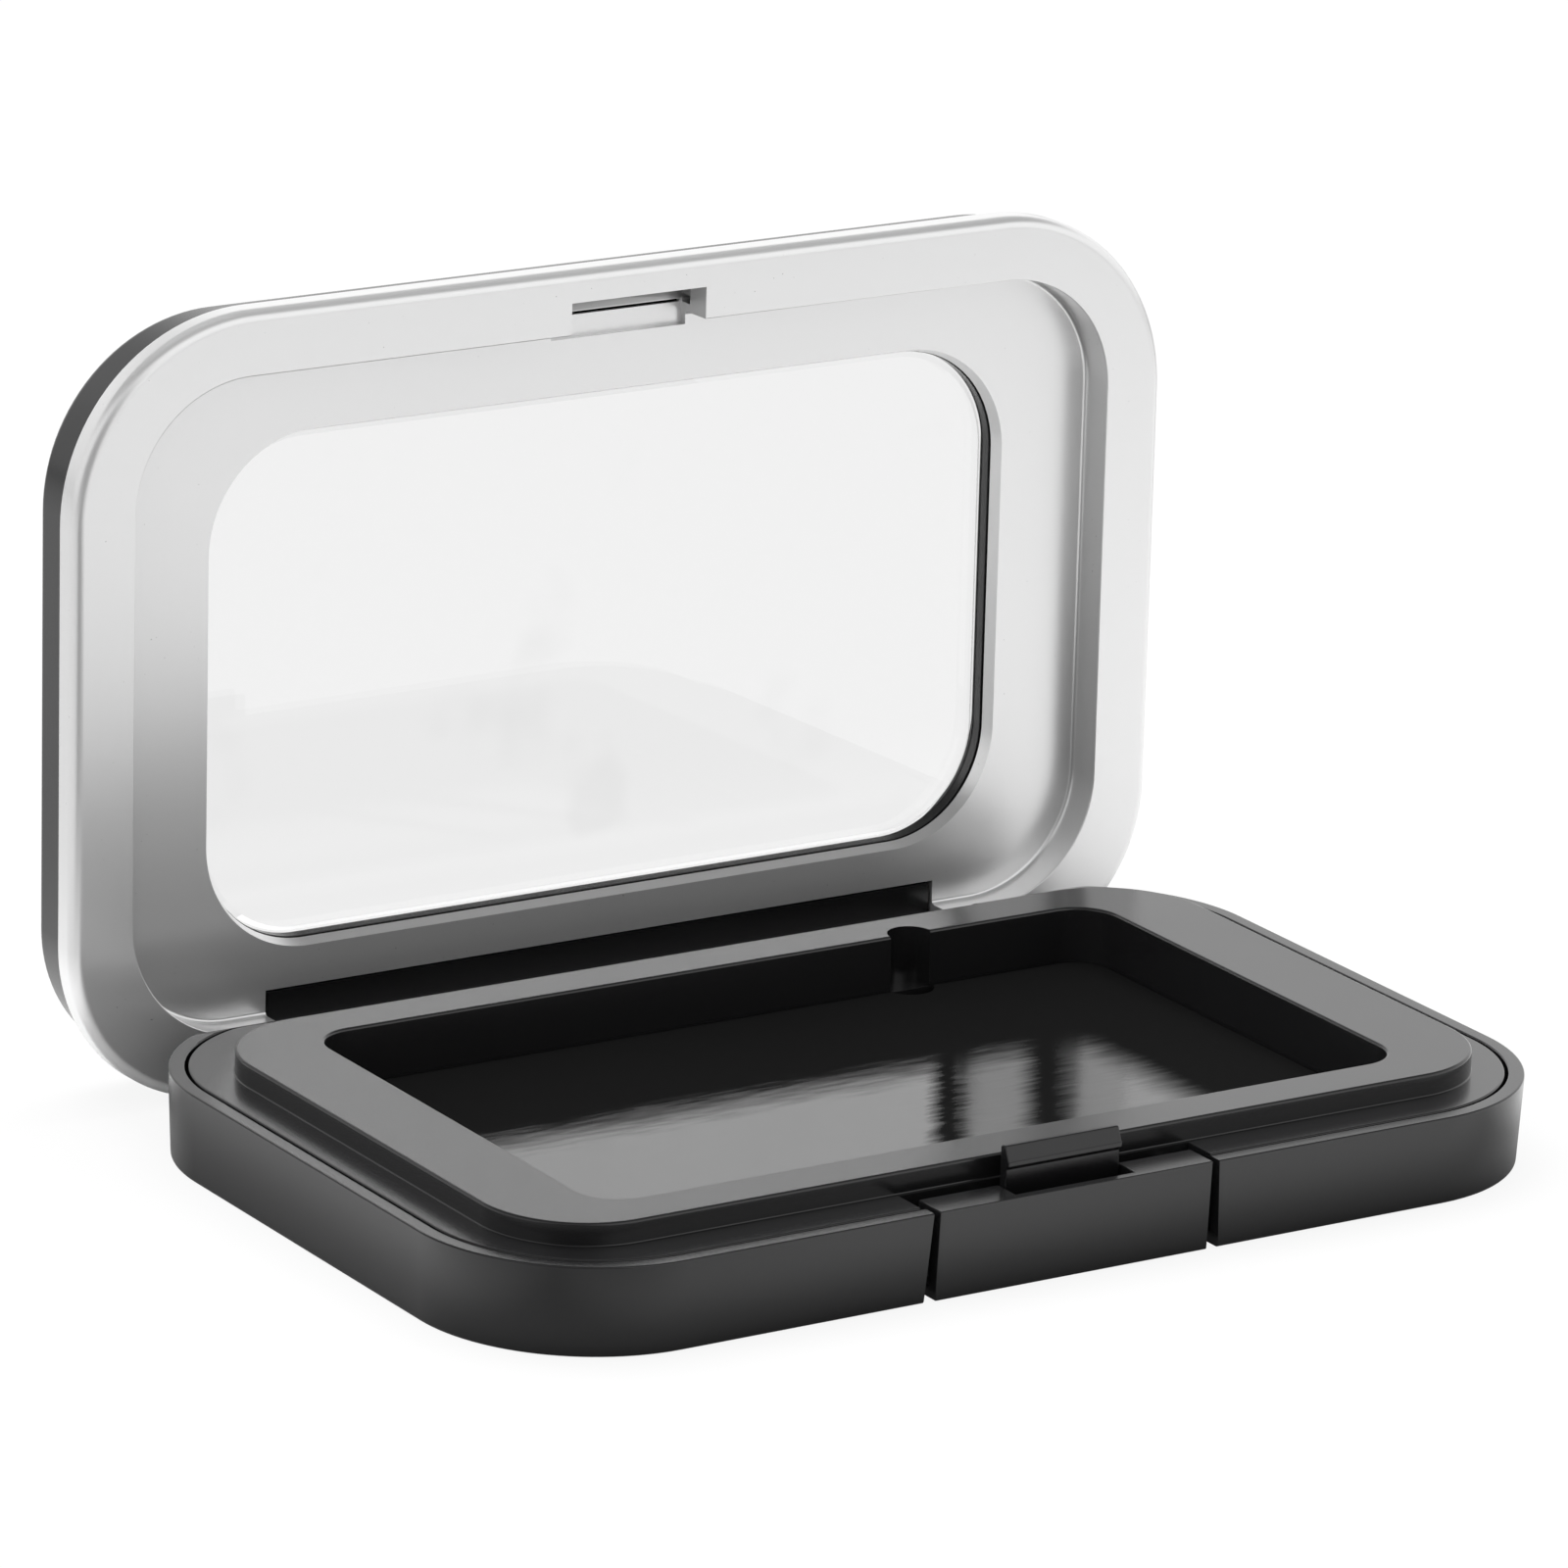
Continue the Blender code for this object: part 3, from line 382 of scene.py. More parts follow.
def makeRingTree(name, sizes, profile):
    # chains bands along a profile; each ring is (plan label, grow, height, bulge of the band before it)
    tree, graph, given = newTree(name, sizes, ("Corner Steps", "Round Steps"), ["Material"])
    rings = []
    for label, grow, height, bulge in profile({key: given.out(key) for key in sizes}):
        width, front, back, *corners = (given.out(key) for key in planNames(label))
        radii = [(corner + grow).math("MAXIMUM", 0.05) for corner in corners]
        rings.append(((width + 2 * grow, front - grow, back + grow, *radii, height), bulge))
    joined = graph.add("GeometryNodeJoinGeometry")
    for (ringA, _), (ringB, bulge) in zip(rings, rings[1:]):
        band = graph.add("GeometryNodeGroup", {"node_tree": bandTree}, {
            "Bulge": float(bulge),
            "Rows": given.out("Round Steps") if bulge else 1,
            "Corner Steps": given.out("Corner Steps"),
        })
        for end, ring in (("A", ringA), ("B", ringB)):
            for key, value in zip(ringNames, ring):
                graph.join(band.socket.node.inputs[key + " " + end], value)
        tree.links.new(band.socket, joined.socket.node.inputs[0])
    merged = graph.add("GeometryNodeMergeByDistance", None, {"Geometry": joined, "Distance": 0.002})
    scaled = graph.add("GeometryNodeTransform", None, {"Geometry": merged, "Scale": (mm, mm, mm)})
    finishTree(graph, given, scaled)
    return tree


def fromTree(name, tree, values):
    # runs a tree on an empty mesh and keeps the result as a plain mesh
    thing = bpy.data.objects.new(name, bpy.data.meshes.new(name))
    bpy.context.scene.collection.objects.link(thing)
    modifier = thing.modifiers.new("tree", "NODES")
    modifier.node_group = tree
    for item in tree.interface.items_tree:
        if item.in_out == "INPUT":
            modifier[item.identifier] = values[item.name]
    takeResult(thing)
    return thing


def takeResult(thing):
    # swaps the mesh for the evaluated one and drops the modifiers
    graph = bpy.context.evaluated_depsgraph_get()
    mesh = bpy.data.meshes.new_from_object(thing.evaluated_get(graph), depsgraph=graph)
    thing.modifiers.clear()
    old = thing.data
    thing.data = mesh
    mesh.name = thing.name
    bpy.data.meshes.remove(old)


def closeUp(thing):
    # caps open ends and turns the faces outwards
    work = bmesh.new()
    work.from_mesh(thing.data)
    bmesh.ops.remove_doubles(work, verts=work.verts, dist=0.000001)
    bmesh.ops.dissolve_degenerate(work, edges=work.edges, dist=0.0000005)
    bmesh.ops.holes_fill(work, edges=[edge for edge in work.edges if edge.is_boundary], sides=0)
    bmesh.ops.recalc_face_normals(work, faces=work.faces)
    work.to_mesh(thing.data)
    work.free()


def ringPiece(name, sizes, profile, material, roundSteps=6):
    tree = makeRingTree(name, sizes, profile)
    values = {**sizes, "Corner Steps": caseSizes["cornerSteps"], "Round Steps": roundSteps,
              "Material": material}
    thing = fromTree(name, tree, values)
    closeUp(thing)
    return thing


def prism(name, points, axis, low, high, material=None):
    # extrudes points along x, y or z; the points are the other two coordinates in order
    spot = {"x": lambda a, b, c: (c, a, b),
            "y": lambda a, b, c: (a, c, b),
            "z": lambda a, b, c: (a, b, c)}[axis]
    work = bmesh.new()
    near = [work.verts.new(Vector(spot(a, b, low)) * mm) for a, b in points]
    far = [work.verts.new(Vector(spot(a, b, high)) * mm) for a, b in points]
    for index in range(len(points)):
        after = (index + 1) % len(points)
        work.faces.new((near[index], near[after], far[after], far[index]))
    work.faces.new(list(reversed(near)))
    work.faces.new(far)
    bmesh.ops.recalc_face_normals(work, faces=work.faces)
    mesh = bpy.data.meshes.new(name)
    work.to_mesh(mesh)
    work.free()
    thing = bpy.data.objects.new(name, mesh)
    bpy.context.scene.collection.objects.link(thing)
    if material:
        mesh.materials.append(material)
    return thing


def block(low, high):
    corners = [(low[0], low[1]), (high[0], low[1]), (high[0], high[1]), (low[0], high[1])]
    return prism("block", corners, "z", low[2], high[2])


def arc(centreA, centreB, radius, start, end, steps):
    points = []
    for step in range(steps + 1):
        angle = math.radians(start + (end - start) * step / steps)
        points.append((centreA + radius * math.cos(angle), centreB + radius * math.sin(angle)))
    return points


def circle(centreA, centreB, radius, steps):
    return arc(centreA, centreB, radius, 0.0, 360.0 - 360.0 / steps, steps - 1)


def combine(thing, tool, operation="DIFFERENCE"):
    modifier = thing.modifiers.new("combine", "BOOLEAN")
    modifier.operation = operation
    modifier.solver = "EXACT"
    modifier.object = tool
    bpy.context.view_layer.update()
    takeResult(thing)
    material = next(item for item in thing.data.materials if item)
    thing.data.materials.clear()
    thing.data.materials.append(material)
    thing.data.polygons.foreach_set("material_index", [0] * len(thing.data.polygons))
    bpy.data.objects.remove(tool, do_unlink=True)


def softEdges(thing, width, segments=2, angle=35.0):
    modifier = thing.modifiers.new("bevel", "BEVEL")
    modifier.width = width * mm
    modifier.segments = segments
    modifier.limit_method = "ANGLE"
    modifier.angle_limit = math.radians(angle)
    bpy.context.view_layer.update()
    takeResult(thing)


def shadeSmooth(thing, angle=40.0):
    thing.data.shade_smooth()
    thing.data.set_sharp_from_angle(angle=math.radians(angle))
    modifier = thing.modifiers.new("normals", "WEIGHTED_NORMAL")
    modifier.keep_sharp = True
    modifier.weight = 90
    bpy.context.view_layer.update()
    takeResult(thing)


def openLid(thing):
    # turns a piece modelled on the closed case to where the open lid stands
    axis = Vector((0.0, caseSizes["hingeY"], caseSizes["hingeZ"])) * mm
    turn = Matrix.Rotation(math.radians(-caseSizes["openAngle"]), 4, "X")
    thing.data.transform(Matrix.Translation(axis) @ turn @ Matrix.Translation(-axis))


def deliver(thing, body, nodes):
    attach(thing, body)
    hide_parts(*nodes)
    triangles = sum(len(face.vertices) - 2 for face in thing.data.polygons)
    print(thing.name, triangles, "triangles")


# Base shell

shellSizes = {
    "Wall": 1.55,
    "Floor": 1.2,          # knuckles and spring stops are rooted in it
    "Rim Height": caseSizes["rim"],
    "Draft": 0.35,
    "Foot Round": 0.35,
    "Rim Round": 0.18,
}
hingeSizes = {
    "lidDrop": 5.47,       # from the lid's face down to the hinge pin
    "swingGap": 0.27,
    "webDrop": 1.5,
    "knuckle": 1.5,
    "bore": 0.75,
    "innerKnuckle": (12.6, 19.4),
    "arm": (19.9, 34.1),
    "outerKnuckle": (34.6, 37.7),
    "sideGap": 0.5,
    "steps": 32,
    "roundSteps": 20,
    "boreReach": 41.0,
    "trayRoom": 2.7,
    "swingHigh": 6.0,
    "swingBack": 9.0,
}
buttonSizes = {
    "top": 8.7,
    "foot": 0.05,
    "lean": 0.35,
    "plate": 1.15,
    "faceWall": 1.55,
    "halfTop": 14.9,
    "deep": 3.7,
    "travel": 1.2,
    "gapTop": 0.7,
    "gapFoot": 1.25,       # the gap widens towards the table
    "lip": 0.9,            # what is left of the top in front of the hook
    "springX": 10.0,
    "stopHalf": 2.2,
    "stopThickness": 1.0,
    "stopHigh": 2.0,       # above the slider's middle
    "pegRadius": 0.65,
    "pegLength": 1.7,
    "pegSteps": 24,
    "springRoom": 4.2,
    "sliderZ": 4.45,
    "edge": 0.13,
}


def shellProfile(s):
    inner = -s["Wall"]
    return [
        ("Base", -s["Draft"] - s["Foot Round"], 0.0, 0),
        ("Base", -s["Draft"], s["Foot Round"], -1),
        ("Base", 0.0, s["Rim Height"] - s["Rim Round"], 0),
        ("Base", -s["Rim Round"], s["Rim Height"], 1),
        ("Base", inner + s["Rim Round"], s["Rim Height"], 0),
        ("Base", inner, s["Rim Height"] - s["Rim Round"], -1),
        ("Base", inner, s["Floor"], 0),
    ]


def swingCutter(radius, reach):
    # all that lies behind and above a circle about the hinge
    y, z = caseSizes["hingeY"], caseSizes["hingeZ"]
    high = z + radius + hingeSizes["swingHigh"]
    back = y + hingeSizes["swingBack"]
    points = arc(y, z, radius, 90.0, 0.0, hingeSizes["steps"])
    points += [(back, z), (back, high), (y, high)]
    return prism("swing", points, "x", -reach, reach)


def boreCutter():
    outline = circle(caseSizes["hingeY"], caseSizes["hingeZ"], hingeSizes["bore"], hingeSizes["steps"])
    return prism("bore", outline, "x", -hingeSizes["boreReach"], hingeSizes["boreReach"])


def sideSpans(span):
    low, high = span
    return [(low, high), (-high, -low)]


def baseShell(material):
    shell = ringPiece("baseShell", {**planSizes("Base", caseSizes["basePlan"]), **shellSizes},
                      shellProfile, material, 5)
    y, z = caseSizes["hingeY"], caseSizes["hingeZ"]
    drop = hingeSizes["lidDrop"]
    knuckle = hingeSizes["knuckle"]
    root = shellSizes["Floor"] - caseSizes["root"]
    reach = hingeSizes["outerKnuckle"][1] + hingeSizes["sideGap"]
    combine(shell, swingCutter(drop - hingeSizes["swingGap"], caseSizes["farSide"]))
    combine(shell, swingCutter(drop - hingeSizes["webDrop"] - caseSizes["gap"], reach))
    for low, high in sideSpans(hingeSizes["arm"]):
        combine(shell, block((low - hingeSizes["sideGap"], y + knuckle, z - knuckle - caseSizes["gap"]),
                             (high + hingeSizes["sideGap"], caseSizes["farBack"], caseSizes["farTop"])))
    outline = arc(y, z, knuckle, 0.0, 180.0, hingeSizes["roundSteps"])
    outline += [(y - knuckle, root), (y + knuckle, root)]
    for span in (hingeSizes["innerKnuckle"], hingeSizes["outerKnuckle"]):
        for low, high in sideSpans(span):
            combine(shell, prism("knuckle", outline, "x", low, high), "UNION")
    combine(shell, boreCutter())
    front = caseSizes["basePlan"][1]
    stop = front + hookSizes["back"] + buttonSizes["springRoom"]
    for side in (1, -1):
        centre = side * buttonSizes["springX"]
        half = buttonSizes["stopHalf"]
        high = buttonSizes["sliderZ"] + buttonSizes["stopHigh"]
        thick = buttonSizes["stopThickness"]
        combine(shell, block((centre - half, stop, root),
                             (centre + half, stop + thick, high)), "UNION")
        peg = circle(centre, buttonSizes["sliderZ"], buttonSizes["pegRadius"], buttonSizes["pegSteps"])
        peg = prism("peg", peg, "y", stop - buttonSizes["pegLength"], stop + thick / 2)
        combine(shell, peg, "UNION")
    top = buttonSizes["halfTop"] + buttonSizes["gapTop"]
    foot = buttonSizes["halfTop"] + buttonSizes["gapFoot"]
    back = front + buttonSizes["deep"] + buttonSizes["travel"] + caseSizes["gap"]
    rim = caseSizes["rim"]
    slope = (foot - top) / rim
    low, high = -caseSizes["past"], rim + caseSizes["past"]
    gap = [(-foot + slope * low, low), (foot - slope * low, low),
           (top - slope * (high - rim), high), (-top + slope * (high - rim), high)]
    combine(shell, prism("buttonGap", gap, "y", front - caseSizes["past"], back))
    softEdges(shell, edgeSizes["shell"])
    shadeSmooth(shell)
    deliver(shell, "base", ["base_shell"])


# Insert with the plateau, the pan well and the finger notch

traySizes = {
    "Wall": 1.2,
    "Skirt Low": 1.5,
    "Skirt Inset": 1.85,
    "Ledge Height": caseSizes["rim"],
    "Ledge Round": 0.2,
    "Plateau Height": 10.85,
    "Plateau Round": 0.28,
    "Plateau Foot": 0.15,
    "Well Floor": 4.55,
    "Well Draft": 0.3,
    "Well Round": 0.3,
}
notchSizes = {
    "x": 22.95,
    "radius": 2.3,
    "sill": 5.25,
    "bossWall": 1.2,
    "bossRoot": 0.6,       # how deep the boss stands in the wall and the floor
    "steps": 40,
}


def trayProfile(s):
    wall = s["Wall"]
    ledge = s["Ledge Height"]
    plateau = s["Plateau Height"]
    inset = -s["Skirt Inset"]
    rings = [
        ("Well", -s["Well Draft"], s["Well Floor"], 0),
        ("Well", 0.0, plateau - s["Well Round"], 0),
        ("Well", s["Well Round"], plateau, 1),
        ("Plateau", -s["Plateau Round"], plateau, 0),
        ("Plateau", 0.0, plateau - s["Plateau Round"], -1),
        ("Plateau", 0.0, ledge + s["Plateau Foot"], 0),
        ("Plateau", s["Plateau Foot"], ledge, 1),
        ("Base", inset - s["Ledge Round"], ledge, 0),
        ("Base", inset, ledge - s["Ledge Round"], -1),
        ("Base", inset, s["Skirt Low"], 0),
        ("Base", inset - wall, s["Skirt Low"], 0),
        ("Base", inset - wall, ledge - wall, 0),
        ("Plateau", -wall, ledge - wall, 0),
        ("Plateau", -wall, plateau - wall, 0),
        ("Well", wall, plateau - wall, 0),
        ("Well", wall, s["Well Floor"] - wall, 0),
    ]
    return rings + [("Well", -s["Well Draft"], s["Well Floor"], 0)]


def innerTray(material):
    sizes = {**planSizes("Base", caseSizes["basePlan"]), **planSizes("Plateau", caseSizes["plateauPlan"]),
             **planSizes("Well", caseSizes["wellPlan"]), **traySizes}
    tray = ringPiece("innerTray", sizes, trayProfile, material)
    wellBack = caseSizes["wellPlan"][2]
    high = traySizes["Plateau Height"]
    x = notchSizes["x"]
    boss = notchSizes["radius"] + notchSizes["bossWall"]
    root = notchSizes["bossRoot"]
    outline = arc(x, wellBack, boss, 0.0, 180.0, notchSizes["steps"])
    outline = [(a, max(b, wellBack + root)) for a, b in outline]
    combine(tray, prism("boss", outline, "z", traySizes["Well Floor"] - root, high - root), "UNION")
    notch = circle(x, wellBack, notchSizes["radius"], notchSizes["steps"])
    combine(tray, prism("notch", notch, "z", notchSizes["sill"], high + caseSizes["past"]))
    half = buttonSizes["halfTop"] + buttonSizes["gapTop"] + caseSizes["gap"]
    front = caseSizes["plateauPlan"][1] - caseSizes["gap"]
    combine(tray, block((-half, -caseSizes["farBack"], 0.0), (half, front, high + caseSizes["past"])))
    reach = hingeSizes["outerKnuckle"][1] + hingeSizes["sideGap"]
    room = caseSizes["hingeY"] - hingeSizes["trayRoom"]
    combine(tray, block((-reach, room, 0.0), (reach, caseSizes["farBack"], high + caseSizes["past"])))
    combine(tray, swingCutter(hingeSizes["lidDrop"] - hingeSizes["swingGap"], caseSizes["farSide"]))
    softEdges(tray, edgeSizes["tray"])
    shadeSmooth(tray)
    deliver(tray, "base", ["inner_tray"])


# Magnet sheet

sheetSizes = {
    "Inset": 0.6,
    "Top": 5.45,
    "Thickness": 0.6,
    "Edge Round": 0.12,
}


def sheetProfile(s):
    low = s["Top"] - s["Thickness"]
    edge = s["Edge Round"]
    return [
        ("Well", -s["Inset"], low, 0),
        ("Well", -s["Inset"], s["Top"] - edge, 0),
        ("Well", -s["Inset"] - edge, s["Top"], 1),
    ]


def magnetSheet(material):
    sizes = {**planSizes("Well", caseSizes["wellPlan"]), **sheetSizes}
    sheet = ringPiece("magnetSheet", sizes, sheetProfile, material)
    wellBack = caseSizes["wellPlan"][2]
    relief = circle(notchSizes["x"], wellBack, notchSizes["radius"] + 0.2, notchSizes["steps"])
    combine(sheet, prism("relief", relief, "z", 0.0, caseSizes["farTop"]))
    shadeSmooth(sheet)
    deliver(sheet, "base", ["magnet_sheet"])


# Hinge pins

pinSizes = {"radius": 0.65, "start": 13.0, "end": 37.3, "steps": 32}


def hingePins(material):
    ring = circle(caseSizes["hingeY"], caseSizes["hingeZ"], pinSizes["radius"], pinSizes["steps"])
    for side, name in ((-1, "left"), (1, "right")):
        low, high = sorted((side * pinSizes["start"], side * pinSizes["end"]))
        pin = prism("pin_" + name, ring, "x", low, high, material)
        softEdges(pin, edgeSizes["pin"])
        shadeSmooth(pin)
        deliver(pin, "base", ["hinge_pin_" + name])


# Return springs

springSizes = {
    "Coil Radius": 1.25,
    "Wire Radius": 0.2,
    "Turns": 2.25,
    "Length": 2.0,
    "Place Y": -30.1,
    "Place Z": 4.45,
}


def makeSpringTree():
    tree, graph, given = newTree("spring", ["Place X", *springSizes], (), ["Material"])
    radius = given.out("Coil Radius") * mm
    coil = graph.add("GeometryNodeCurveSpiral", None, {
        "Resolution": 40, "Rotations": given.out("Turns"), "Start Radius": radius,
        "End Radius": radius, "Height": given.out("Length") * mm})
    wire = graph.add("GeometryNodeCurvePrimitiveCircle", None,
                     {"Resolution": 14, "Radius": given.out("Wire Radius") * mm})
    tube = graph.add("GeometryNodeCurveToMesh", None,
                     {"Curve": coil, "Profile Curve": wire, "Fill Caps": True})
    spot = [given.out("Place " + axis) * mm for axis in "XYZ"]
    spot = graph.add("ShaderNodeCombineXYZ", None, spot)
    placed = graph.add("GeometryNodeTransform", None,
                       {"Geometry": tube, "Translation": spot, "Rotation": (math.pi / 2, 0.0, 0.0)})
    finishTree(graph, given, placed)
    return tree


def returnSprings(material):
    tree = makeSpringTree()
    for side, name in ((-1, "left"), (1, "right")):
        values = {**springSizes, "Place X": side * buttonSizes["springX"], "Material": material}
        spring = fromTree("spring_" + name, tree, values)
        closeUp(spring)
        shadeSmooth(spring, 50.0)
        deliver(spring, "base", ["button_spring_" + name])


# Push button

def pushButton(material):
    front = caseSizes["basePlan"][1]
    top, foot = buttonSizes["top"], buttonSizes["foot"]
    back = front + buttonSizes["deep"]
    inner = front + buttonSizes["faceWall"]
    plate = buttonSizes["plate"]
    half = buttonSizes["halfTop"]
    outline = [(front + buttonSizes["lean"], foot), (back, foot), (back, foot + plate),
               (inner, foot + plate), (inner, top - plate), (back, top - plate), (back, top), (front, top)]
    button = prism("pushButton", outline, "x", -half, half, material)
    gap, past = caseSizes["gap"], caseSizes["past"]
    combine(button, block((hookSizes["left"] - gap, front + buttonSizes["lip"], top - plate - 0.6),
                          (hookSizes["right"] + gap, back + past, top + past)))
    softEdges(button, buttonSizes["edge"], 3)
    shadeSmooth(button)
    deliver(button, "latch", ["push_button"])


# Hook on its slider

hookSizes = {
    "left": -5.95,
    "right": 6.5,
    "front": 3.0,          # from the button's face
    "back": 4.0,
    "top": 12.45,
    "noseReach": 0.4,
    "noseTop": 10.95,
    "noseLow": 10.6,
    "noseSlope": (0.04, 0.22),
    "noseDrop": 0.25,
    "noseRound": 0.12,
    "topRound": 0.3,
    "topFlat": 0.7,
    "edge": 0.12,
    "slider": (-13.0, 13.0, 1.65, 7.25),
    "sliderFront": 1.9,
    "sliderStep": 1.15,
    "stepDeep": 0.25,
}


def latchHook(material):
    base = caseSizes["basePlan"][1]
    front = base + hookSizes["front"]
    back = base + hookSizes["back"]
    nose = front - hookSizes["noseReach"]
    top = hookSizes["top"]
    left, right, low, high = hookSizes["slider"]
    sliderFront = base + hookSizes["sliderFront"]
    topRound, noseRound = hookSizes["topRound"], hookSizes["noseRound"]
    step, stepFront = high - hookSizes["sliderStep"], back - hookSizes["stepDeep"]
    slopeLow, slopeHigh = (hookSizes["noseTop"] + rise for rise in hookSizes["noseSlope"])
    outline = [(front, step), (stepFront, step), (stepFront, high), (back, high)]
    outline += arc(back - topRound, top - topRound, topRound, 0.0, 90.0, 5)
    outline += [(back - hookSizes["topFlat"], top), (nose + noseRound, slopeHigh)]
    outline += arc(nose + noseRound, slopeLow, noseRound, 130.0, 180.0, 3)
    outline += [(nose, hookSizes["noseLow"]), (front, hookSizes["noseLow"] - hookSizes["noseDrop"])]
    hook = prism("latchHook", outline, "x", hookSizes["left"], hookSizes["right"], material)
    combine(hook, block((left, sliderFront, low), (right, back, high)), "UNION")
    softEdges(hook, hookSizes["edge"], 3, 50.0)
    shadeSmooth(hook, 50.0)
    deliver(hook, "latch", ["latch_hook"])


# Silver half of the lid

frameSizes = {
    "Sink": 3.69,
    "Cove": 0.45,
    "Recess Edge": 0.12,
    "Outer Round": 1.15,
    "Seam": caseSizes["seam"],
    "Back": caseSizes["frameBack"],
    "Window Draft": 0.45,
    "Wall": 1.2,
    "Spigot Inset": 2.8,
    "Spigot Height": 1.4,
    "Spigot Thickness": 0.8,
}
slotSizes = {
    "left": -7.55,
    "right": 7.45,
    "front": -35.55,
    "length": 4.45,
    "sink": 4.45,
    "slitInset": 0.25,
    "slitBack": 2.35,
    "slitWidth": 0.3,
    "rampRise": 0.75,
    "holeWidth": 0.85,
    "holeLow": 2.9,
    "catch": 1.75,
    "catchDeep": 0.35,
    "boxWall": 1.9,
    "boxSetback": 0.2,
    "boxOverlap": 0.4,
    "boxBacks": (-0.6, 1.2),   # where its two parts end, from the recess
    "sideOverlap": 0.3,
}


def frameProfile(s):
    face = lidFace
    sink = face + s["Sink"]
    back = face + s["Back"]
    seam = face + s["Seam"]
    inset = -s["Spigot Inset"]
    rings = [
        ("Window", -s["Window Draft"], back, 0),
        ("Window", 0.0, sink, 0),
        ("Recess", -s["Cove"], sink, 0),
        ("Recess", 0.0, sink - s["Cove"], -1),
        ("Recess", 0.0, face + s["Recess Edge"], 0),
        ("Recess", s["Recess Edge"], face, 1),
        ("Lid", -s["Outer Round"], face, 0),
        ("Lid", 0.0, face + s["Outer Round"], -1),
        ("Lid", 0.0, seam, 0),
        ("Lid", inset, seam, 0),
        ("Lid", inset, seam + s["Spigot Height"], 0),
        ("Lid", inset - s["Spigot Thickness"], seam + s["Spigot Height"], 0),
        ("Lid", inset - s["Spigot Thickness"], seam, 0),
        ("Recess", s["Wall"], seam, 0),
        ("Recess", s["Wall"], back - s["Wall"], 0),
        ("Recess", 0.0, back, 0),
    ]
    return rings + [("Window", -s["Window Draft"], back, 0)]


def lidFrame(material):
    plans = {**planSizes("Lid", caseSizes["lidPlan"]), **planSizes("Recess", caseSizes["recessPlan"]),
             **planSizes("Window", caseSizes["windowPlan"])}
    silver = ringPiece("lidFrame", {**plans, **frameSizes}, frameProfile, material)
    left, right, front = slotSizes["left"], slotSizes["right"], slotSizes["front"]
    wall = slotSizes["boxWall"]
    recess = caseSizes["recessPlan"][1]
    back = lidFace + frameSizes["Back"] - 0.05
    sink = lidFace + slotSizes["sink"]
    catch = lidFace + slotSizes["catch"]
    boxFront = front + slotSizes["boxSetback"]
    over = slotSizes["boxOverlap"]
    starts = (lidFace + frameSizes["Seam"] - over, lidFace + frameSizes["Sink"] + over)
    for start, reach in zip(starts, slotSizes["boxBacks"]):
        combine(silver, block((left - wall, boxFront, start), (right + wall, recess + reach, back)), "UNION")
    low = lidFace - caseSizes["past"]
    combine(silver, block((left, front, low), (right, front + slotSizes["length"], sink)))
    deep = slotSizes["catchDeep"]
    combine(silver, block((left, front - deep, catch), (right, front + deep, sink)))
    inset = slotSizes["slitInset"]
    slitBack = front + slotSizes["slitBack"]
    through = lidFace + caseSizes["coverTop"]
    slitFront = slitBack - slotSizes["slitWidth"]
    combine(silver, block((left + inset, slitFront, catch), (right - inset, slitBack, through)))
    ramp = [(front - deep, sink + 0.1), (slitFront, sink + 0.1), (slitFront, sink),
            (front - deep, sink - slotSizes["rampRise"])]
    over = slotSizes["sideOverlap"]
    combine(silver, prism("ramp", ramp, "x", left - over, right + over), "UNION")
    combine(silver, block((right - over, slitBack - slotSizes["holeWidth"], lidFace + slotSizes["holeLow"]),
                          (right + wall + 0.7, slitBack, sink - 0.1)))
    half = hingeSizes["outerKnuckle"][1] + caseSizes["gap"]
    notchFront = caseSizes["hingeY"] - blockSizes["reach"] - caseSizes["gap"]
    combine(silver, block((-half, notchFront, low), (half, caseSizes["farBack"], through)))
    softEdges(silver, edgeSizes["silver"])
    shadeSmooth(silver)
    openLid(silver)
    deliver(silver, "lid", ["lid_frame"])


# Black half of the lid

coverSizes = {
    "Inset": 1.5,
    "Wall": 1.0,
    "Low": caseSizes["seam"] + caseSizes["gap"],
    "Top": caseSizes["coverTop"],
    "Round": 1.0,
    "Hole Inset": 0.55,
    "Hole Round": 0.15,
    "Rebate": 1.8,
    "Rebate Floor": 6.65,
    "Collar": 3.0,
    "Collar Low": caseSizes["frameBack"] + caseSizes["gap"],
    "Ceiling": caseSizes["coverTop"] - 2.5,
}
paneSizes = {
    "Lap": 1.5,
    "Top": 7.65,
    "Thickness": 0.7,
    "Edge Round": 0.15,
    "Plug Height": 0.9,
    "Plug Gap": 0.2,
    "Plug Bevel": 0.5,
}


def coverProfile(s):
    face = lidFace
    inset = -s["Inset"]
    hole = -s["Hole Inset"]
    top = face + s["Top"]
    floor = face + s["Rebate Floor"]
    ceiling = face + s["Ceiling"]
    collarLow = face + s["Collar Low"]
    low = face + s["Low"]
    rings = [
        ("Lid", inset, low, 0),
        ("Lid", inset, top - s["Round"], 0),
        ("Lid", inset - s["Round"], top, 1),
        ("Window", hole + s["Rebate"], top, 0),
        ("Window", hole + s["Rebate"], floor, 0),
        ("Window", hole + s["Hole Round"], floor, 0),
        ("Window", hole, floor - s["Hole Round"], -1),
        ("Window", hole, collarLow, 0),
        ("Window", hole + s["Collar"], collarLow, 0),
        ("Window", hole + s["Collar"], ceiling, 0),
        ("Lid", inset - s["Wall"], ceiling, 0),
        ("Lid", inset - s["Wall"], low, 0),
    ]
    return rings + [("Lid", inset, low, 0)]


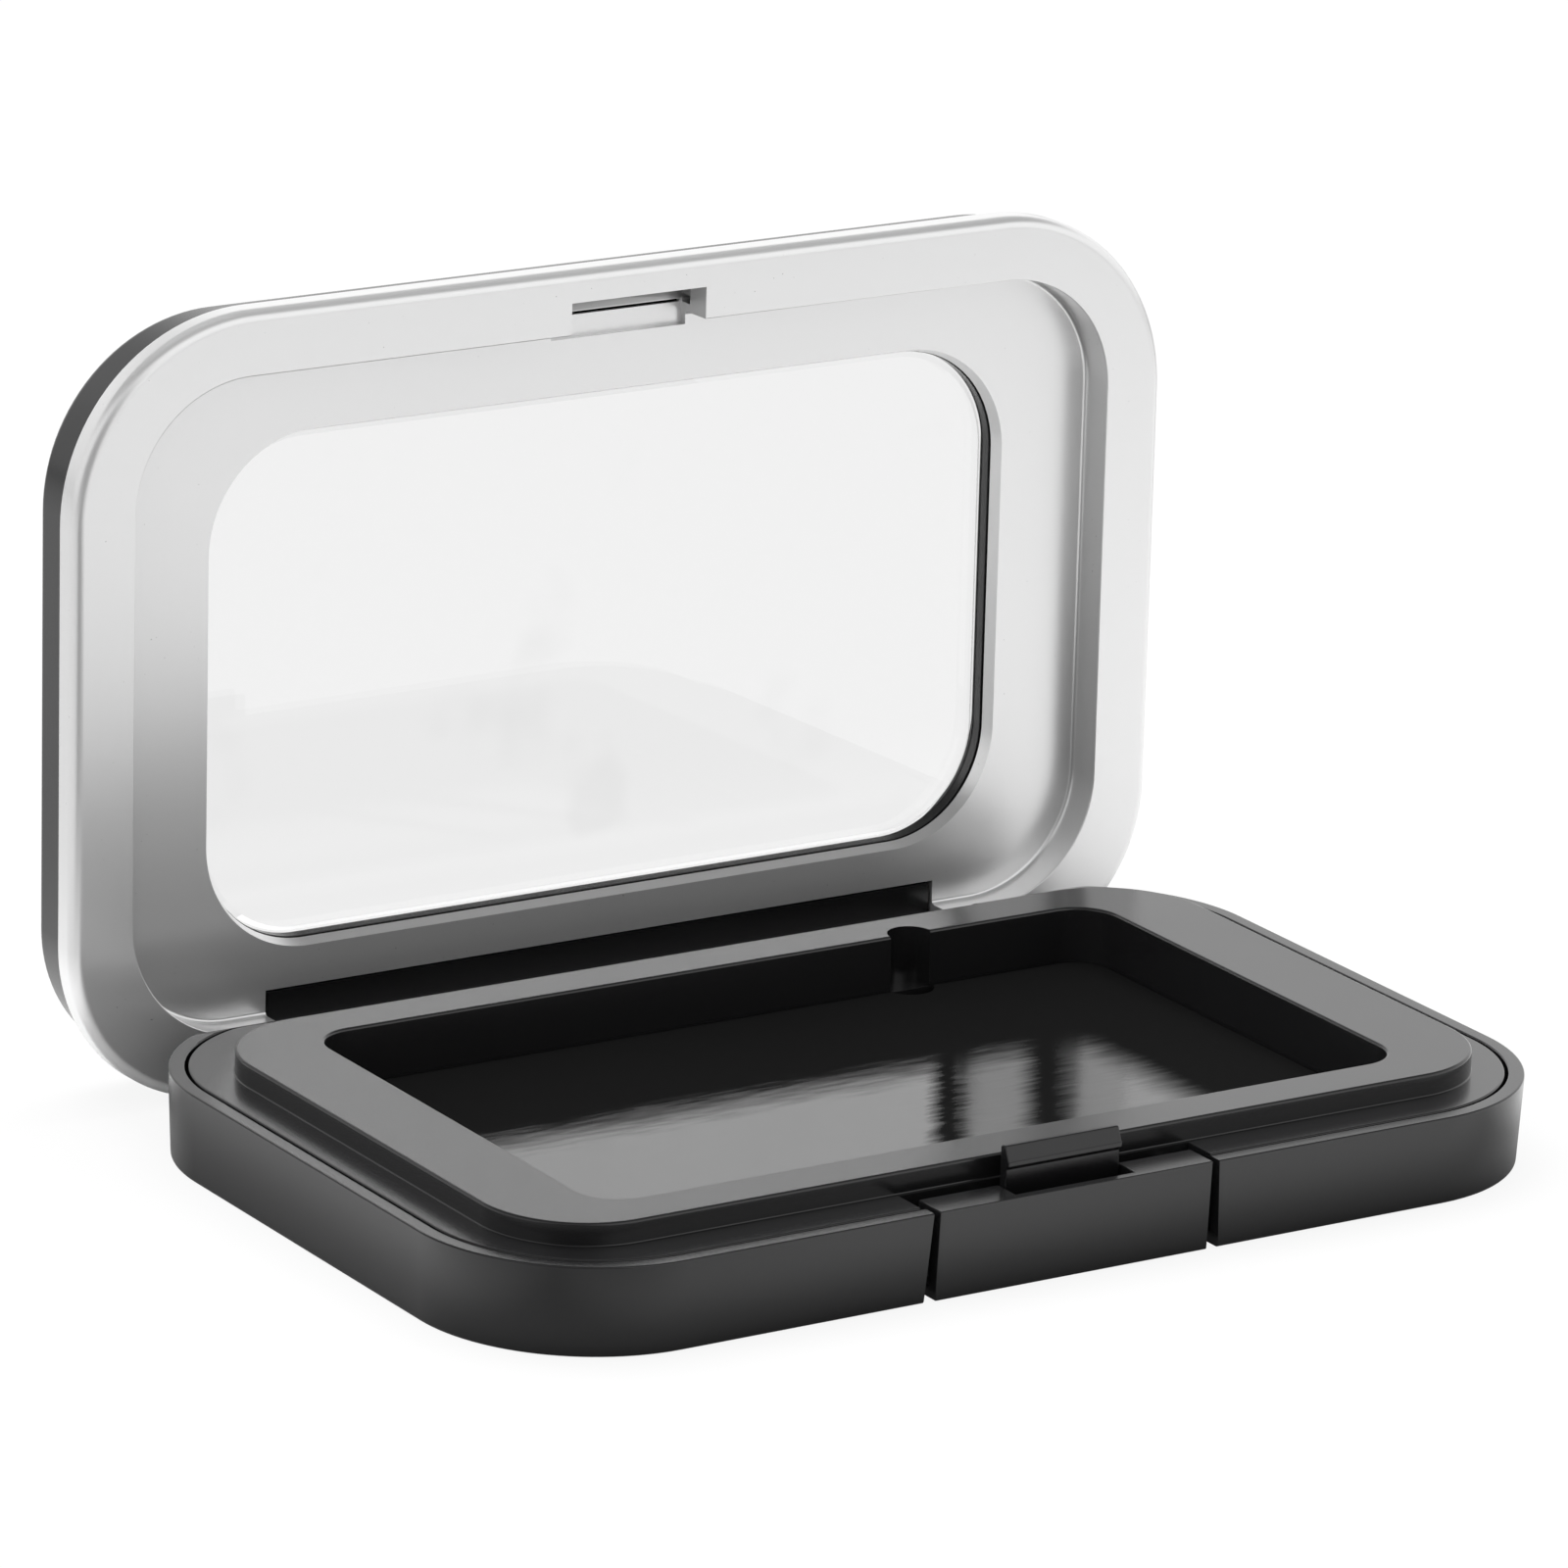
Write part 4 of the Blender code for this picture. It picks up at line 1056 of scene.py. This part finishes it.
def lidCover(material):
    plans = {**planSizes("Lid", caseSizes["lidPlan"]), **planSizes("Window", caseSizes["windowPlan"])}
    cover = ringPiece("lidCover", {**plans, **coverSizes}, coverProfile, material, 10)
    softEdges(cover, edgeSizes["cover"])
    shadeSmooth(cover)
    openLid(cover)
    deliver(cover, "lid", ["lid_cover"])


def paneProfile(s):
    hole = -coverSizes["Hole Inset"]
    grow = hole + s["Lap"]
    edge = s["Edge Round"]
    top = lidFace + s["Top"]
    low = top - s["Thickness"]
    plug = low - s["Plug Height"]
    side = hole - s["Plug Gap"]
    return [
        ("Window", side - s["Plug Bevel"], plug, 0),
        ("Window", side, plug + s["Plug Bevel"], 0),
        ("Window", side, low, 0),
        ("Window", grow - edge, low, 0),
        ("Window", grow, low + edge, -1),
        ("Window", grow, top - edge, 0),
        ("Window", grow - edge, top, 1),
    ]


def windowPane(material):
    sizes = {**planSizes("Window", caseSizes["windowPlan"]), **paneSizes}
    pane = ringPiece("windowPane", sizes, paneProfile, material, 4)
    shadeSmooth(pane)
    openLid(pane)
    deliver(pane, "lid", ["window_pane"])


# Hinge block with the lid's two arms

blockSizes = {
    "reach": 5.0,
    "webReach": 2.2,
    "webBack": 0.5,
    "face": 3.9,
    "bandLow": 0.3,
    "bandDeep": 1.4,
    "edge": 0.08,
}


def hingeBlock(material):
    y, z = caseSizes["hingeY"], caseSizes["hingeZ"]
    face = lidFace + blockSizes["face"]
    back = lidFace + coverSizes["Ceiling"] - caseSizes["gap"]
    seam = lidFace + frameSizes["Seam"]
    front = y - blockSizes["reach"]
    webFront = y - blockSizes["webReach"]
    webBack = y + blockSizes["webBack"]
    webLow = lidFace - hingeSizes["webDrop"]
    bandLow = lidFace + blockSizes["bandLow"]
    bandBack = webBack + blockSizes["bandDeep"]
    outline = [(front, face), (webFront, face), (webFront, webLow), (webBack, webLow), (webBack, bandLow),
               (bandBack, bandLow), (bandBack, seam), (webBack, seam), (webBack, back), (front, back)]
    half = hingeSizes["outerKnuckle"][1]
    thing = prism("hingeBlock", outline, "x", -half, half, material)
    radius = hingeSizes["knuckle"]
    top = webLow + caseSizes["root"]
    arm = arc(y, z, radius, 180.0, 360.0, hingeSizes["roundSteps"])
    arm += [(y + radius, z + 2.0), (webBack - 0.3, top), (webFront + 0.3, top), (y - radius, z + 2.0)]
    for low, high in sideSpans(hingeSizes["arm"]):
        combine(thing, prism("arm", arm, "x", low, high), "UNION")
    combine(thing, boreCutter())
    softEdges(thing, blockSizes["edge"])
    shadeSmooth(thing)
    openLid(thing)
    deliver(thing, "lid", ["hinge_block"])


# Floor, light and camera

def makeStage():
    size = stageSizes["floorSize"] / 2
    mesh = bpy.data.meshes.new("floor")
    corners = [(-size, -size, 0.0), (size, -size, 0.0), (size, size, 0.0), (-size, size, 0.0)]
    mesh.from_pydata(corners, [], [(0, 1, 2, 3)])
    floor = bpy.data.objects.new("floor", mesh)
    bpy.context.scene.collection.objects.link(floor)
    material, graph = newMaterial("paleFloor")
    rays = graph.add("ShaderNodeLightPath")
    seen = rays.out("Is Camera Ray").math("MAXIMUM", rays.out("Is Transmission Ray"))
    plain = graph.add("ShaderNodeEmission", None, {"Color": (1.0, 1.0, 1.0, 1.0), "Strength": 1.0})
    place = graph.add("ShaderNodeTexCoord").out("Object")
    place = graph.add("ShaderNodeSeparateXYZ", None, {"Vector": place})
    x, y = place.out("X") * 1000.0, place.out("Y") * 1000.0
    wayX, wayY = shadePlaces["towardsCamera"]
    fromCentre = y - shadePlaces["floorCentre"]
    along = (wayX * x + wayY * fromCentre).smooth(*shadeEdges["floorCamera"])
    aside = (wayY * x - wayX * fromCentre).math("ABSOLUTE").smooth(*shadeEdges["floorAside"])
    cameraSide = 1.0 - stageSizes["cameraShade"] * along * (1.0 - aside)
    halfX, halfY = shadePlaces["caseHalf"]
    outside = (x.math("ABSOLUTE") - halfX).math("MAXIMUM", y.math("ABSOLUTE") - halfY)
    near = 1.0 - stageSizes["nearShade"] * (1.0 - outside.smooth(*shadeEdges["floorNear"]))
    back = y.smooth(*shadeEdges["floorBack"]).math("MAXIMUM", (-x).smooth(*shadeEdges["floorLeft"]))
    back = 1.0 - stageSizes["backShade"] * back
    kept = 1.0 - rays.out("Is Glossy Ray") * (1.0 - cameraSide * near * back)
    paint = graph.add("ShaderNodeBsdfDiffuse", None, {"Color": stageSizes["floorLevel"] * kept})
    share = seen * (1.0 - stageSizes["floorShadow"])
    finishMaterial(graph, graph.add("ShaderNodeMixShader", None, [share, paint, plain]))
    mesh.materials.append(material)


def makeWorld():
    world = bpy.data.worlds.new("studio")
    bpy.context.scene.world = world
    world.use_nodes = True
    world.node_tree.nodes.clear()
    graph = Graph(world.node_tree)
    rays = graph.add("ShaderNodeLightPath")
    heading = graph.add("ShaderNodeTexCoord").out("Generated")
    heading = graph.add("ShaderNodeSeparateXYZ", None, {"Vector": heading})
    x, y, z = (heading.out(axis) for axis in "XYZ")
    behind = (y + shadePlaces["behindTurn"] * x).smooth(*shadeEdges["roomBehind"])
    mirrored = stageSizes["roomFront"] + (stageSizes["roomBehind"] - stageSizes["roomFront"]) * behind
    above = (z - shadePlaces["frontLift"] * (1.0 - behind)).smooth(*shadeEdges["roomAbove"])
    mirrored = mirrored + (stageSizes["roomAbove"] - mirrored) * above
    wayX, wayY = shadePlaces["headingCamera"]
    nearCamera = (wayX * x + wayY * y).smooth(*shadeEdges["roomCamera"])
    mirrored = mirrored * (1.0 - stageSizes["cameraShade"] * nearCamera)
    mirrored = mirrored * (1.0 - stageSizes["leftShade"] * (-x).smooth(*shadeEdges["roomLeft"]))
    level = stageSizes["roomLevel"]
    level = level + (mirrored - level) * rays.out("Is Glossy Ray")
    through = stageSizes["roomThrough"] + (stageSizes["roomAbove"] - stageSizes["roomThrough"]) * above
    level = level + (through - level) * rays.out("Is Transmission Ray")
    level = level + (1.0 - level) * rays.out("Is Camera Ray")
    light = graph.add("ShaderNodeBackground", None, {"Color": (1.0, 1.0, 1.0, 1.0), "Strength": level})
    graph.add("ShaderNodeOutputWorld", None, {"Surface": light})


lampSizes = {
    "overhead": {"place": (0.05, 0.25, 0.75), "aim": (0.0, 0.0, 0.02), "size": (0.9, 0.6), "power": 7.0},
    "side": {"place": (-0.75, 0.0, 0.45), "aim": (0.0, 0.0, 0.03), "size": (0.5, 0.7), "power": 2.0},
}


def makeLamps():
    for name, sizes in lampSizes.items():
        data = bpy.data.lights.new(name, "AREA")
        data.shape = "RECTANGLE"
        data.size, data.size_y = sizes["size"]
        data.energy = sizes["power"]
        lamp = bpy.data.objects.new(name, data)
        lamp.visible_glossy = False
        lamp.visible_transmission = False
        bpy.context.scene.collection.objects.link(lamp)
        lamp.location = sizes["place"]
        towards = Vector(sizes["aim"]) - Vector(sizes["place"])
        lamp.rotation_euler = towards.to_track_quat("-Z", "Y").to_euler()


def makeCamera():
    data = bpy.data.cameras.new("camera")
    data.lens = cameraSizes["focal"]
    data.sensor_width = cameraSizes["sensor"]
    camera = bpy.data.objects.new("camera", data)
    bpy.context.scene.collection.objects.link(camera)
    right = Vector(cameraSizes["right"]).normalized()
    up = Vector(cameraSizes["up"])
    back = right.cross(up).normalized()
    up = back.cross(right)
    turn = Matrix((right, up, back)).transposed().to_4x4()
    camera.matrix_world = Matrix.Translation(cameraSizes["location"]) @ turn
    data.clip_start = 0.05
    data.clip_end = 20.0
    bpy.context.scene.camera = camera


bpy.context.scene.view_settings.view_transform = "Standard"
makeCamera()
makeWorld()
makeLamps()
makeStage()
print("stage ready")

black = satinBlack()
steel = bareSteel()
baseShell(black)
innerTray(black)
magnetSheet(magnetFilm())
hingePins(steel)
returnSprings(steel)
print("base ready")

pushButton(black)
latchHook(glossBlack())
print("latch ready")

lidFrame(satinSilver())
lidCover(black)
windowPane(clearPane())
hingeBlock(black)
print("lid ready")
